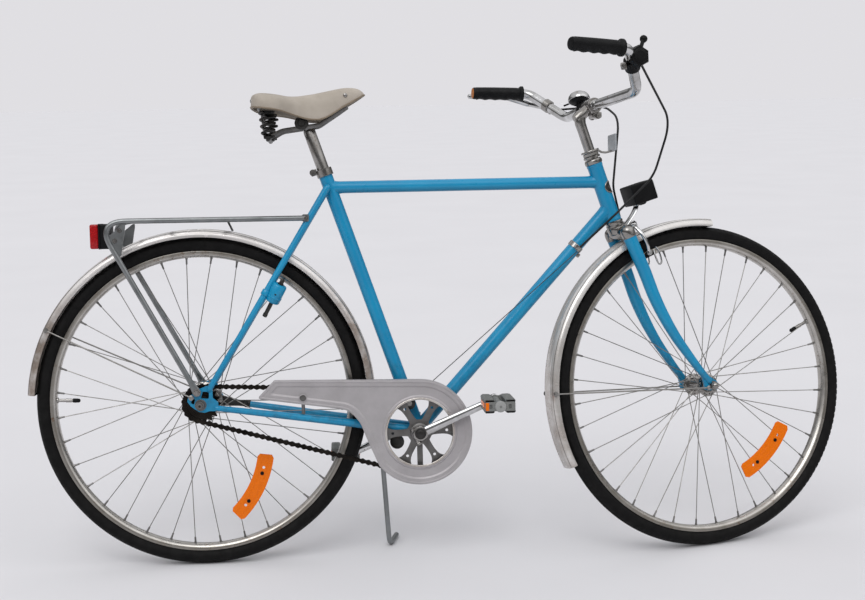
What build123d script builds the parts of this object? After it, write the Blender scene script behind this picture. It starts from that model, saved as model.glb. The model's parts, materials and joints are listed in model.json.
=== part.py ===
from build123d import *
import math
import os

# City bicycle, modelled upright in millimetres: X forward, Y left, Z up,
# origin on the ground under the rear axle. At the end every piece is leaned over onto the side stand.

# Wheels
TYRE_R = 345.0
TYRE_HALF = 18.0
TREAD_HALF = 5.5
RIM_EDGE = TYRE_R - 29.0
RIM_BED = RIM_EDGE - 18.0
RIM_HALF = 12.5
SPOKE_COUNT = 36
SPOKE_W = 2.0
SPOKE_SPLIT = 2.4

# Main sizes
CRANK_LENGTH = 170.0
TOE_ROOM = 105.0
BB_X = 452.0
BB_DROP = 73.0
AXLE_Z = TYRE_R
WHEELBASE = BB_X + CRANK_LENGTH + TYRE_R + TOE_ROOM
HEAD_ANGLE = math.radians(71.7)
SEAT_ANGLE = math.radians(71.27)
FORK_OFFSET = 70.0
STEER_REST = 15.5
LEAN = math.radians(6.0)

REAR_AXLE = (0.0, 0.0, AXLE_Z)
FRONT_AXLE = (WHEELBASE, 0.0, AXLE_Z)
BB = (BB_X, 0.0, AXLE_Z - BB_DROP)

# Steering axis: unit vector up the head tube, and the foot of the front axle on it
STEER_UP = (-math.cos(HEAD_ANGLE), 0.0, math.sin(HEAD_ANGLE))
STEER_FWD = (math.sin(HEAD_ANGLE), 0.0, math.cos(HEAD_ANGLE))
STEER_FOOT = tuple(FRONT_AXLE[i] - FORK_OFFSET * STEER_FWD[i] for i in range(3))
STEER_AXIS = Axis(STEER_FOOT, STEER_UP)

# Heights up the steering axis, each from the one below it
CROWN_S = TYRE_R + 27.0
CROWN_TOP = CROWN_S + 15.5
CUP_LOW = CROWN_TOP + 1.5
HEAD_LOW = CUP_LOW + 13.0
HEAD_TOP = HEAD_LOW + 128.0
CUP_HIGH = HEAD_TOP + 11.0
NUT_LOW = CUP_HIGH + 1.5
NUT_TOP = NUT_LOW + 13.5
STEM_TOP = NUT_TOP + 78.0
TOP_TUBE_S = HEAD_TOP - 40.2
DOWN_TUBE_S = HEAD_LOW + 30.0

# Tubes
HEAD_R = 16.5
HEAD_BORE = 13.6
STEERER_R = 12.5
TOP_TUBE_R = 12.7
DOWN_TUBE_R = 14.3
SEAT_TUBE_R = 14.3
SEAT_STUB = 41.0
POST_R = 12.7
POST_LENGTH = 94.0
BB_R = 20.0
BB_HALF = 34.0
DROPOUT_Y = 62.0
DROPOUT_T = 5.0
FORK_END_Y = 53.0
BAR_R = 11.0

# Drive
CHAIN_Y = -45.0
PITCH = 12.7
RING_TEETH = 44
COG_TEETH = 18
RING_R = PITCH / (2 * math.sin(math.pi / RING_TEETH))
COG_R = PITCH / (2 * math.sin(math.pi / COG_TEETH))
CRANK_ANGLE = 23.0
CRANK_IN = 62.0
CRANK_T = 12.0
GUARD_Y = -56.0
GUARD_T = 1.4

nodes = {}
BODY = {}


def keep(body, name, shape):
    nodes[name] = shape
    BODY[name] = body


def on_axis(s, d=0.0, y=0.0):
    """Point at height s up the steering axis and d ahead of it."""
    x = STEER_FOOT[0] + s * STEER_UP[0] + d * STEER_FWD[0]
    return (x, y, STEER_FOOT[2] + s * STEER_UP[2] + d * STEER_FWD[2])


def flat(p):
    """The (x, z) pair of a point."""
    return (p[0], p[2])


def at_wheel(centre, angle, radius, y=0.0):
    """Point on a circle round a wheel's centre, the angle counted up from forward."""
    a = math.radians(angle)
    return (centre[0] + radius * math.cos(a), y, centre[2] + radius * math.sin(a))


def between(p, q, f):
    return tuple(a + f * (b - a) for a, b in zip(p, q))


def moved_by(p, dx=0.0, dy=0.0, dz=0.0):
    return (p[0] + dx, p[1] + dy, p[2] + dz)


def rod(p, q, r):
    d = Vector(*q) - Vector(*p)
    return Plane(origin=p, z_dir=d) * Cylinder(r, d.length, align=(Align.CENTER, Align.CENTER, Align.MIN))


def cone(p, q, r1, r2):
    d = Vector(*q) - Vector(*p)
    return Plane(origin=p, z_dir=d) * Cone(r1, r2, d.length, align=(Align.CENTER, Align.CENTER, Align.MIN))


def ball(p, r):
    return Location(tuple(p)) * Sphere(r)


def ring(p, q, r_out, r_in):
    return rod(p, q, r_out) - rod(p, q, r_in)


def slab(points, y0, y1):
    """Prism across Y over a polygon of (x, z) points."""
    face = make_face(Polyline(*[(x, y0, z) for x, z in points], close=True))
    return extrude(face, amount=y1 - y0, dir=(0, 1, 0))


def hex_nut(x, z, y0, y1, r):
    corners = [math.radians(60 * k) for k in range(6)]
    return slab([(x + r * math.cos(a), z + r * math.sin(a)) for a in corners], min(y0, y1), max(y0, y1))


def bent(points, r, bend):
    path = FilletPolyline(*points, radius=bend)
    section = Plane(origin=path @ 0, z_dir=path % 0) * Circle(r)
    return sweep(section, path=path)


def disc(x, z, y0, y1, r):
    return rod((x, min(y0, y1), z), (x, max(y0, y1), z), r)


def tapered(p, q, r1, r2, y0, y1):
    """Flat bar across Y whose outline wraps two circles."""
    (x1, z1), (x2, z2) = p, q
    length = math.hypot(x2 - x1, z2 - z1)
    turn = math.atan2(z2 - z1, x2 - x1)
    side = math.acos((r1 - r2) / length)
    pts = []
    for (x, z, r, a0, a1) in ((x2, z2, r2, -side, side), (x1, z1, r1, side, 2 * math.pi - side)):
        for k in range(9):
            a = turn + a0 + (a1 - a0) * k / 8
            pts.append((x + r * math.cos(a), z + r * math.sin(a)))
    return slab(pts, min(y0, y1), max(y0, y1))


def turned(profile, centre, start=0.0, arc=360.0):
    """Revolve (radius, y) points round a cross axis, from a start angle above forward."""
    axis = Axis(centre, (0, -1, 0))
    face = make_face(Polyline(*[(centre[0] + r, y, centre[2]) for r, y in profile], close=True))
    if start:
        face = face.rotate(axis, start)
    return revolve(face, axis=axis, revolution_arc=arc)


def mirror_y(shape):
    return mirror(shape, about=Plane.XZ)


def pair(shape):
    return Compound([*shape.solids(), *mirror_y(shape).solids()])


def steered(shape):
    return shape.rotate(STEER_AXIS, STEER_REST)


def turn_point(p, angle):
    """Point turned about the steering axis."""
    u = Vector(*STEER_UP)
    v = Vector(*p) - Vector(*STEER_FOOT)
    a = math.radians(angle)
    turned_v = v * math.cos(a) + u.cross(v) * math.sin(a) + u * (u.dot(v) * (1 - math.cos(a)))
    return Vector(*STEER_FOOT) + turned_v


# Frame tubes, each trimmed by the ones it meets
SEAT_UP = (-math.cos(SEAT_ANGLE), 0.0, math.sin(SEAT_ANGLE))


def up_seat(h, y=0.0, fwd=0.0):
    """Point h up the seat tube from the bottom bracket."""
    return (BB[0] + h * SEAT_UP[0] + fwd, y, BB[2] + h * SEAT_UP[2])


TOP_TUBE_Z = on_axis(TOP_TUBE_S)[2]
TOP_TUBE_H = (TOP_TUBE_Z - BB[2]) / SEAT_UP[2]
SEAT_H = TOP_TUBE_H + SEAT_STUB
seat_line = rod(BB, up_seat(SEAT_H), SEAT_TUBE_R)
shell_block = disc(BB[0], BB[2], -BB_HALF, BB_HALF, BB_R)
HEAD_RIM = 5.0
head_block = rod(on_axis(HEAD_LOW), on_axis(HEAD_TOP), HEAD_R)
head_block = head_block + rod(on_axis(HEAD_LOW), on_axis(HEAD_LOW + HEAD_RIM), HEAD_R + 0.8)
head_block = head_block + rod(on_axis(HEAD_TOP - HEAD_RIM), on_axis(HEAD_TOP), HEAD_R + 0.8)
keep("frame", "head_tube", head_block - rod(on_axis(HEAD_LOW - 5), on_axis(HEAD_TOP + 5), HEAD_BORE))
keep("frame", "seat_tube", seat_line - shell_block)

top_tube = rod(up_seat(TOP_TUBE_H), on_axis(TOP_TUBE_S), TOP_TUBE_R) - seat_line - head_block
keep("frame", "top_tube", top_tube)
down_tube = rod(BB, on_axis(DOWN_TUBE_S), DOWN_TUBE_R) - head_block - shell_block - seat_line
keep("frame", "down_tube", down_tube)

SHELL_BORE = 8.1
SHELL_WALL = 3.0
CUP_DEPTH = 10.0
hollow = BB_HALF - CUP_DEPTH
shell_half = [(BB_R, BB_HALF), (SHELL_BORE, BB_HALF), (SHELL_BORE, hollow), (BB_R - SHELL_WALL, hollow)]
shell_profile = shell_half + [(r, -y) for r, y in reversed(shell_half)]
keep("frame", "bottom_bracket", turned(shell_profile, BB))

# Rear ends: axle lobe with eyelets, strut up to the seatstay, window between them
DROPOUT = [(-27, 8), (-25, 18), (-14, 24), (-12, 33), (0, 34), (12, 39), (25, 39), (25, 14), (36, 5),
           (36, -13), (18, -13), (8, -16), (-4, -14), (-20, -2)]
WINDOW = [(3, 14), (15, 13), (15, 25), (5, 24)]
AXLE_R = 5.0
dropout = slab([(x, AXLE_Z + z) for x, z in DROPOUT], -DROPOUT_Y - DROPOUT_T / 2, -DROPOUT_Y + DROPOUT_T / 2)
dropout = dropout - slab([(x, AXLE_Z + z) for x, z in WINDOW], -DROPOUT_Y - DROPOUT_T, -DROPOUT_Y + DROPOUT_T)
dropout = dropout - disc(0, AXLE_Z, -DROPOUT_Y - 20, -DROPOUT_Y + 20, AXLE_R + 0.2)
STAY_R = 9.0
STAY_END_R = 6.0
stay_front = moved_by(BB, -8, -25, 1.5)
stay_knee = moved_by(BB, -112, -32, 17)
stay_end = (34.0, -DROPOUT_Y, AXLE_Z - 8)
chainstay = rod(stay_front, stay_knee, STAY_R) + ball(stay_knee, STAY_R)
chainstay = chainstay + cone(stay_knee, stay_end, STAY_R, STAY_END_R)
chainstay = (chainstay + dropout) - shell_block
bridge_at = between(stay_front, stay_knee, 0.79)
chain_bridge = rod(bridge_at, moved_by(bridge_at, dy=-2 * bridge_at[1]), 6.5)
stays = chainstay + mirror_y(chainstay) + chain_bridge
keep("frame", "chainstays", stays)

UPPER_STAY_R = 7.5
SEATSTAY_TOP = up_seat(TOP_TUBE_H - 1, -20.5, -6)
SEATSTAY_LOW = (18.5, -DROPOUT_Y, AXLE_Z + 32)


def on_stay(f, dx=0.0, dy=0.0):
    """Point along the right seatstay, 0 at the dropout and 1 at the top."""
    return moved_by(between(SEATSTAY_LOW, SEATSTAY_TOP, f), dx, dy)


def stay_share(z):
    """How far up the seatstay a height lies."""
    return (z - SEATSTAY_LOW[2]) / (SEATSTAY_TOP[2] - SEATSTAY_LOW[2])


seatstay = cone(SEATSTAY_LOW, SEATSTAY_TOP, 6.0, UPPER_STAY_R) + ball(SEATSTAY_TOP, UPPER_STAY_R)
stay_bridge = on_stay(stay_share(2 * AXLE_Z - 22))
seat_bridge = rod(stay_bridge, moved_by(stay_bridge, dy=-2 * stay_bridge[1]), 5.0)
seatstays = seatstay + mirror_y(seatstay) + seat_bridge
seatstays = seatstays - dropout - mirror_y(dropout) - seat_line - top_tube
keep("frame", "seatstays", seatstays)

CUP_BORE = STEERER_R + 0.15
low_cup = ring(on_axis(CUP_LOW), on_axis(HEAD_LOW), HEAD_R + 3, CUP_BORE)
high_cup = ring(on_axis(HEAD_TOP), on_axis(CUP_HIGH), HEAD_R + 2.5, CUP_BORE)
keep("frame", "headset_cups", Compound([*low_cup.solids(), *high_cup.solids()]))

# Seatpost and saddle
POST_TOP = up_seat(SEAT_H + POST_LENGTH)
post = rod(up_seat(SEAT_H), POST_TOP, POST_R)
keep("frame", "seatpost", post)
COLLAR_H = 16.0
collar = ring(up_seat(SEAT_H - COLLAR_H), up_seat(SEAT_H), SEAT_TUBE_R + 3, SEAT_TUBE_R)
collar_ears = Plane(origin=up_seat(SEAT_H - COLLAR_H / 2, fwd=-22), z_dir=SEAT_UP) * Box(14, 16, 14)
keep("frame", "seat_collar", (collar + collar_ears) - seat_line - seatstays - top_tube)


def by_post(dx, y, dz):
    """Point measured from the top of the seatpost."""
    return (POST_TOP[0] + dx, y, POST_TOP[2] + dz)


# Saddle sections from tail to nose: distance ahead of the post, half width, lower edge, top
SADDLE = ((-115, 46, 36, 62), (-107, 78, 33, 70), (-86, 96, 30, 72), (-54, 90, 26, 68), (-22, 64, 18, 59),
          (14, 43, 12, 60), (50, 33, 17, 69), (84, 26, 35, 78), (108, 18, 52, 76), (120, 7, 61, 67))
SADDLE_STEPS = 8
sections = []
for dx, half, low, high in SADDLE:
    row = []
    for k in range(SADDLE_STEPS + 1):
        a = math.pi * k / SADDLE_STEPS
        side = math.copysign(abs(math.cos(a)) ** 0.7, math.cos(a))
        row.append(by_post(dx, half * side, low + (high - low) * math.sin(a) ** 0.7))
    sections.append(make_face(Polyline(*row, close=True)))
saddle = loft(sections, ruled=True)
keep("frame", "saddle_cover", saddle)

RAIL_Y = 21.0
RAIL_R = 3.5
SPRING_X = -80.0
SPRING_Y = -46.0
rail_nose = by_post(98, -9, 42)
rail_front = by_post(58, -RAIL_Y, 10)
rail_back = by_post(-54, -RAIL_Y, -3)
rail_tail = by_post(SPRING_X, SPRING_Y, -24)
rail = rod(rail_nose, rail_front, RAIL_R) + ball(rail_front, RAIL_R) + rod(rail_front, rail_back, RAIL_R)
rail = rail + ball(rail_back, RAIL_R) + rod(rail_back, rail_tail, RAIL_R)
tail_bar = rod(by_post(SPRING_X, SPRING_Y - 6, -27), by_post(SPRING_X, 6 - SPRING_Y, -27), 5.0)
clamp_bar = rod(by_post(-11, -30, 3), by_post(-11, 30, 3), 13.0)
rails = (rail + mirror_y(rail) + tail_bar + clamp_bar) - post - saddle
keep("frame", "saddle_rails", rails)

SPRING_HALF = 27.0
SPRING_IN = 8.0
COILS = 5
spring_mid = by_post(SPRING_X, SPRING_Y, 3)
spring_profile = [(SPRING_IN, -SPRING_HALF)]
for k in range(2 * COILS + 1):
    spring_profile.append((14 + 3 * (k % 2), SPRING_HALF * (k / COILS - 1)))
spring_profile.append((SPRING_IN, SPRING_HALF))
spring_line = Polyline(*[moved_by(spring_mid, dx=r, dz=h) for r, h in spring_profile], close=True)
spring = revolve(make_face(spring_line), axis=Axis(spring_mid, (0, 0, 1))) - rails - saddle
keep("frame", "saddle_springs", pair(spring))

# Wheels


def tyre(centre):
    half = [(RIM_EDGE + 0.3, 11.0), (TYRE_R - 14, TYRE_HALF), (TYRE_R, TREAD_HALF)]
    return turned([(r, -y) for r, y in half] + [(r, y) for r, y in reversed(half)], centre)


VALVE_R = 3.5
VALVE_LENGTH = 42.0


def rim(centre, valve_angle):
    half = [(RIM_EDGE, RIM_HALF), (RIM_EDGE - 11, RIM_HALF), (RIM_BED, 6.0)]
    body = turned([(r, -y) for r, y in reversed(half)] + half, centre)
    inner = at_wheel(centre, valve_angle, RIM_BED - VALVE_LENGTH)
    return body + rod(inner, at_wheel(centre, valve_angle, RIM_BED + 2), VALVE_R)


CROSSING = 60.0
SPOKE_END = RIM_BED + 2.0


def spoke_ends(flange_r, flange_y, crossing):
    """Hub and rim ends of a spoke whose rim end points forward, on the left side."""
    hub = at_wheel((0, 0, 0), crossing * CROSSING, flange_r, flange_y + crossing * SPOKE_SPLIT)
    return hub, (SPOKE_END, 3.0 + crossing * 0.6, 0.0)


def spokes(centre, flange_r, flange_y, phase):
    """Three-cross spokes as square bars, outer and inner ones either side of the flange."""
    out = []
    for j in range(SPOKE_COUNT):
        side = -1 if j % 2 == 0 else 1
        p, q = spoke_ends(flange_r, flange_y, 1 if (j // 2) % 2 == 0 else -1)
        d = Vector(*q) - Vector(*p)
        bar = Plane(origin=between(p, q, 0.5), z_dir=d) * Box(SPOKE_W, SPOKE_W, d.length)
        if side < 0:
            bar = mirror_y(bar)
        bar = bar.rotate(Axis((0, 0, 0), (0, -1, 0)), 360 / SPOKE_COUNT * j + phase)
        out += bar.moved(Location(centre)).solids()
    return Compound(out)


REFLECTOR_R = 213.0
REFLECTOR_W = 34.0
REFLECTOR_LENGTH = 146.0
REFLECTOR_T = 3.5


def inside(p, outline):
    """Whether an (x, z) point lies in a closed outline."""
    hit = False
    for (x1, z1), (x2, z2) in zip(outline, outline[1:] + outline[:1]):
        if (z1 > p[1]) != (z2 > p[1]) and p[0] < x1 + (p[1] - z1) * (x2 - x1) / (z2 - z1):
            hit = not hit
    return hit


def spokes_under(outline, centre, flange, phase):
    """How far out the right-hand spokes come where they pass behind an outline."""
    out = 0.0
    for j in range(0, SPOKE_COUNT, 2):
        p, q = spoke_ends(*flange, 1 if (j // 2) % 2 == 0 else -1)
        turn = math.radians(360 / SPOKE_COUNT * j + phase)
        for k in range(201):
            x, y, z = between(p, q, k / 200)
            at_x = centre[0] + x * math.cos(turn) - z * math.sin(turn)
            at_z = centre[2] + x * math.sin(turn) + z * math.cos(turn)
            if inside((at_x, at_z), outline):
                out = max(out, y)
    return out


def reflector(centre, flange, phase, angle, tilt):
    """Curved strip on the outside of the near spokes, turned about its own middle by the tilt."""
    mid = at_wheel(centre, angle, REFLECTOR_R)
    spread = math.degrees(REFLECTOR_LENGTH / REFLECTOR_R)
    t = math.radians(tilt)
    pts = []
    for radius, sign in ((REFLECTOR_R + REFLECTOR_W / 2, 1), (REFLECTOR_R - REFLECTOR_W / 2, -1)):
        for k in range(7):
            p = at_wheel(centre, angle + sign * spread * (k / 6 - 0.5), radius)
            dx, dz = p[0] - mid[0], p[2] - mid[2]
            along = dx * math.cos(t) - dz * math.sin(t)
            rise = dx * math.sin(t) + dz * math.cos(t)
            pts.append((mid[0] + along, mid[2] + rise))
    face_y = spokes_under(pts, centre, flange, phase) + SPOKE_W * 0.72
    return slab(pts, -face_y - REFLECTOR_T, -face_y)


REAR_VALVE = 178.0
REAR_FLANGE = (33.0, 29.0)
REAR_SPOKE_TURN = 5.0
FLANGE_HALF = 1.5
FLANGE_EDGE = 4.0
RUN_GAP = 0.09
flange_r, flange_y = REAR_FLANGE
hub_half = [(flange_r + FLANGE_EDGE, flange_y - FLANGE_HALF), (27.0, flange_y - 5)]
rear_hub_profile = [(AXLE_R + RUN_GAP, -33), (20, -33), (20, -flange_y - FLANGE_HALF),
                    (flange_r + FLANGE_EDGE, -flange_y - FLANGE_HALF)]
rear_hub_profile += [(r, -y) for r, y in hub_half] + [(25, 0)] + [(r, y) for r, y in reversed(hub_half)]
rear_hub_profile += [(flange_r + FLANGE_EDGE, flange_y + FLANGE_HALF), (24, flange_y + FLANGE_HALF), (22, 40),
                     (AXLE_R + RUN_GAP, 40)]
keep("rear_wheel", "rear_tyre", tyre(REAR_AXLE))
keep("rear_wheel", "rear_rim", rim(REAR_AXLE, REAR_VALVE))
keep("rear_wheel", "rear_hub", turned(rear_hub_profile, REAR_AXLE))
keep("rear_wheel", "rear_spokes", spokes(REAR_AXLE, *REAR_FLANGE, REAR_SPOKE_TURN))
keep("rear_wheel", "rear_reflector", reflector(REAR_AXLE, REAR_FLANGE, REAR_SPOKE_TURN, -60.0, 33.0))

FRONT_VALVE = 25.0
FRONT_FLANGE = (20.0, 30.0)
FRONT_SPOKE_TURN = 5.0
FRONT_AXLE_R = 4.5
flange_r, flange_y = FRONT_FLANGE
front_half = [(12, 0), (14, flange_y - 5), (flange_r + FLANGE_EDGE, flange_y - FLANGE_HALF),
              (flange_r + FLANGE_EDGE, flange_y + FLANGE_HALF), (14, flange_y + FLANGE_HALF), (12, 38),
              (FRONT_AXLE_R + RUN_GAP, 38)]
front_hub_profile = [(r, -y) for r, y in reversed(front_half)] + front_half[1:]
keep("front_wheel", "front_tyre", tyre(FRONT_AXLE))
keep("front_wheel", "front_rim", rim(FRONT_AXLE, FRONT_VALVE))
keep("front_wheel", "front_hub", turned(front_hub_profile, FRONT_AXLE))
keep("front_wheel", "front_spokes", spokes(FRONT_AXLE, *FRONT_FLANGE, FRONT_SPOKE_TURN))
keep("front_wheel", "front_reflector", reflector(FRONT_AXLE, FRONT_FLANGE, FRONT_SPOKE_TURN, -46.0, 0.0))

# Axles stay with the frame and the fork
NUT_R = 9.0
AXLE_HALF = DROPOUT_Y + 22.0
rear_axle = disc(0, AXLE_Z, -AXLE_HALF, AXLE_HALF, AXLE_R)
front_axle = disc(WHEELBASE, AXLE_Z, -FORK_END_Y - 17, FORK_END_Y + 17, FRONT_AXLE_R)
for side in (-1, 1):
    y_in = side * (DROPOUT_Y + DROPOUT_T / 2)
    rear_axle = rear_axle + hex_nut(0, AXLE_Z, y_in, y_in + side * 9, NUT_R)
    y_in = side * (FORK_END_Y + DROPOUT_T / 2)
    front_axle = front_axle + hex_nut(WHEELBASE, AXLE_Z, y_in, y_in + side * 8, NUT_R)
    front_axle = front_axle + ball((WHEELBASE, side * (FORK_END_Y + 10), AXLE_Z), 8.0)
keep("frame", "rear_axle", rear_axle)
keep("steering", "front_axle", front_axle)

# Fork: steerer with crown, then two raked blades with flat ends
CROWN_HALF = 37.0
CROWN_AHEAD = 4.0
crown = rod(on_axis(CROWN_S, CROWN_AHEAD, -CROWN_HALF), on_axis(CROWN_S, CROWN_AHEAD, CROWN_HALF), 14.5)
crown = crown + rod(on_axis(CROWN_S), on_axis(CROWN_TOP), 19.0)
lock_nuts = rod(on_axis(NUT_LOW), on_axis(NUT_TOP), 18.0)
steerer = rod(on_axis(CROWN_S), on_axis(NUT_TOP), STEERER_R) + crown + lock_nuts
keep("steering", "fork_steerer", steerer)

# Blade stations: share of the crown's height, distance ahead of the axis, distance out, radius
BLADE = ((0.99, CROWN_AHEAD, CROWN_HALF + 0.5, 13.0), (0.605, 14, 44, 12.5), (0.336, 33, 49, 10.5),
         (0.148, 51, 52, 8.5), (0.027, 65, FORK_END_Y, 7.0))
stations = [(on_axis(share * CROWN_S, d, -y), r) for share, d, y, r in BLADE]
blade = ball(stations[0][0], stations[0][1])
for (p, r1), (q, r2) in zip(stations, stations[1:]):
    blade = blade + cone(p, q, r1, r2)
for p, r in stations[1:-1]:
    blade = blade + ball(p, r)
FRONT_EYE = (WHEELBASE - 13.0, AXLE_Z - 4.0)
end_in = -FORK_END_Y + DROPOUT_T / 2
end_out = -FORK_END_Y - DROPOUT_T / 2
fork_end = tapered(flat(FRONT_AXLE), flat(on_axis(14, 64)), 11, 9, end_out, end_in)
fork_end = fork_end + disc(*FRONT_EYE, end_out, end_in, 6)
axle_hole = disc(WHEELBASE, AXLE_Z, -FORK_END_Y - 30, -FORK_END_Y + 20, FRONT_AXLE_R + 0.2)
blade = (blade + fork_end) - crown - axle_hole
keep("steering", "fork_blades", pair(blade))

# Stem, bar and what is clamped on it
BAR_CLAMP = on_axis(STEM_TOP + 12.9, 37.5)
BAR_FRONT = on_axis(STEM_TOP + 9.5, 57.4, 172)
BAR_TURN = on_axis(STEM_TOP + 91.6, 25.6, 252)
GRIP_END = on_axis(STEM_TOP + 134.7, -98.1, 268.5)
GRIP_LENGTH = 117.0
GRIP_R = 14.0
BEND = 30.0
STEM_R = 11.1
stem = rod(on_axis(NUT_TOP), on_axis(STEM_TOP), STEM_R) + ball(on_axis(STEM_TOP), 13.0)
stem = stem + rod(on_axis(STEM_TOP), BAR_CLAMP, 11.0)
stem = stem + rod(moved_by(BAR_CLAMP, dy=-19), moved_by(BAR_CLAMP, dy=19), 16.5)
grip_share = GRIP_LENGTH / (Vector(*BAR_TURN) - Vector(*GRIP_END)).length
grip_front = between(GRIP_END, BAR_TURN, grip_share)
bar_start = between(GRIP_END, BAR_TURN, 0.03)
left_half = bent([bar_start, BAR_TURN, BAR_FRONT, BAR_CLAMP], BAR_R, BEND)
bar = left_half + mirror_y(left_half) + ball(BAR_CLAMP, BAR_R)
keep("steering", "handlebar", bar)
keep("steering", "stem", stem - bar - steerer)
grip = rod(GRIP_END, grip_front, GRIP_R) + rod(between(GRIP_END, grip_front, 0.95), grip_front, GRIP_R + 3.5)
keep("steering", "grips", pair(grip - bar))


def on_bar(f, dx=0.0, dy=0.0, dz=0.0):
    """Point along the bar's left rising part, 0 at its front bend and 1 at the grip's bend."""
    return moved_by(between(BAR_FRONT, BAR_TURN, f), dx, dy, dz)


def right_bar(f, dx=0.0, dy=0.0, dz=0.0):
    x, y, z = on_bar(f)
    return (x + dx, dy - y, z + dz)


perch = rod(on_bar(0.36), on_bar(0.66), 15.5)
lever_points = [on_bar(0.5, 8, 8, -2), on_axis(STEM_TOP + 70.8, 25.0, 270)]
lever_points += [on_axis(STEM_TOP + 98.8, -5.7, 292), on_axis(STEM_TOP + 132.2, -93.7, 303)]
keep("steering", "brake_lever", (perch + bent(lever_points, 5.0, 14)) - bar)
along_bar = Vector(*right_bar(1.0)) - Vector(*right_bar(0.0))
shifter = Plane(origin=right_bar(0.6, 10, 3, 8), z_dir=along_bar) * Box(36, 34, 30)
shifter = shifter + rod(right_bar(0.42), right_bar(0.78), 15.5)
thumb = right_bar(0.6, 46, 8, 54)
shifter = shifter + rod(right_bar(0.6, 18, 4, 18), thumb, 4.0) + ball(thumb, 8.0)
keep("steering", "shifter", shifter - bar)
bell_foot = between(BAR_CLAMP, BAR_FRONT, 0.36)
bell_line = Polyline((0, 0, -10), (16, 0, -10), (24, 0, -4), (24, 0, 2), (18, 0, 12), (0, 0, 17), close=True)
bell = Location(moved_by(bell_foot, -6, 0, 22)) * revolve(make_face(bell_line), axis=Axis.Z)
bell = bell + rod(moved_by(bell_foot, -6, 0, 2), moved_by(bell_foot, -6, 0, 16), 7.0)
keep("steering", "bell", bell - bar)

# Lamp, reflector, brake and cables at the front, placed from the crown and the lock nuts
LAMP_TILT = -17.0
lamp = Location(on_axis(CROWN_S + 66.3, 79.1)) * Rotation(0, LAMP_TILT, 0) * Box(58, 56, 43)
keep("steering", "headlamp", lamp)
STRIP = ((52.7, 56.7), (48.3, 70.0), (35.0, 59.2), (19.1, 37.1), (5.8, 20.1), (11.5, 15.7), (25.7, 33.0),
         (41.3, 52.9))
strip = slab([flat(on_axis(CROWN_S + s, d)) for s, d in STRIP], -11, 11)
keep("steering", "lamp_strip", strip - lamp - steerer)
PLATE = ((-12.5, 47.5), (-13.7, 51.3), (17.9, 67.1), (19.2, 63.3))
plate = slab([flat(on_axis(NUT_TOP + s, d)) for s, d in PLATE], -21, 21)
arm = rod(on_axis(NUT_TOP - 0.7, 56.7), on_axis(NUT_TOP + 2, 17), 3.0)
arm = arm + ring(on_axis(NUT_TOP + 0.2), on_axis(NUT_TOP + 4), 20.0, STEM_R)
keep("steering", "front_reflector_plate", (plate + arm) - stem - steerer)

# Mudguards: rounded section of even thickness, and their wire stays
MUD_IN = TYRE_R + 5.0
mud_out = [(MUD_IN + 1, 25), (MUD_IN + 8, 21), (MUD_IN + 12, 11)]
mud_low = [(MUD_IN, 23.5), (MUD_IN + 6.8, 19.8), (MUD_IN + 10.6, 10.4)]
mud_section = [(r, -y) for r, y in mud_out] + [(r, y) for r, y in reversed(mud_out)]
mud_section += mud_low + [(r, -y) for r, y in reversed(mud_low)]
FRONT_GUARD = (83.0, 123.0)
REAR_GUARD = (5.0, 171.0)
front_guard = turned(mud_section, FRONT_AXLE, *FRONT_GUARD)
keep("steering", "front_mudguard", front_guard - crown)
rear_guard = turned(mud_section, REAR_AXLE, *REAR_GUARD)
keep("frame", "rear_mudguard", rear_guard)

WIRE_R = 2.2
wire_at = at_wheel(FRONT_AXLE, 180.2, MUD_IN + 4, -27)
eye_at = (FRONT_EYE[0], end_out - 2.5, FRONT_EYE[1])
front_stay = rod(moved_by(wire_at, dy=3.2), moved_by(wire_at, dy=-2), 4.0) + rod(wire_at, eye_at, WIRE_R)
front_stay = (front_stay + disc(*FRONT_EYE, end_out - 4.7, end_out, 4.5)) - blade
keep("steering", "front_stays", pair(front_stay - front_guard - front_axle))
wire_at = at_wheel(REAR_AXLE, 153.1, MUD_IN + 4.2, -27)
eye_at = (-18.5, -DROPOUT_Y - DROPOUT_T / 2 - 2.3, AXLE_Z + 16)
rear_stay = rod(wire_at, eye_at, WIRE_R) + rod(moved_by(wire_at, dy=-2), moved_by(wire_at, dy=3.2), 4.0)
rear_stay = rear_stay + disc(eye_at[0], eye_at[2], eye_at[1] - 2.5, eye_at[1] + 2.3, 4.5)
rear_stay = rear_stay - rear_guard - dropout
keep("frame", "rear_stays", pair(rear_stay))

# Front brake: two arms on the crown bolt, each with a pad beside the rim
PAD_S = CROWN_S - 64.5
pivot = on_axis(CROWN_S + 9, 29.6)
elbow = on_axis(CROWN_S - 15.7, 34.1, -34)
tip = on_axis(PAD_S + 7.1, 39.2, -31)
caliper = bent([moved_by(pivot, dy=-8), elbow, tip], 4.0, 10)
pad = Location(on_axis(PAD_S, 36.0, -RIM_HALF - 7.3)) * Rotation(0, -24.6, 0) * Box(46, 9, 8)
half_brake = caliper + pad + rod(on_axis(PAD_S + 4.5, 37.3, -RIM_HALF - 7.5), tip, 4.5)
crown_bolt = rod(on_axis(CROWN_S + 7.7, 14.4), on_axis(CROWN_S + 7.1, 41.6), 6.0)
brake = half_brake + mirror_y(half_brake) + crown_bolt + rod(moved_by(pivot, dy=-9), moved_by(pivot, dy=9), 5.0)
cable_arm = on_axis(CROWN_S + 13.7, 28.0, 28)
brake = brake + rod(moved_by(pivot, dy=6), cable_arm, 4.0)
keep("steering", "front_brake", brake - steerer - strip - front_guard)
brake_run = [on_bar(0.45, 12, 4, -6), on_axis(STEM_TOP + 5.9, 132.1, 110), on_axis(NUT_TOP + 0.3, 91.8, 20)]
brake_run += [on_axis(HEAD_LOW + 68, 33.8, 20), moved_by(cable_arm, dy=-1, dz=3)]
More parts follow.
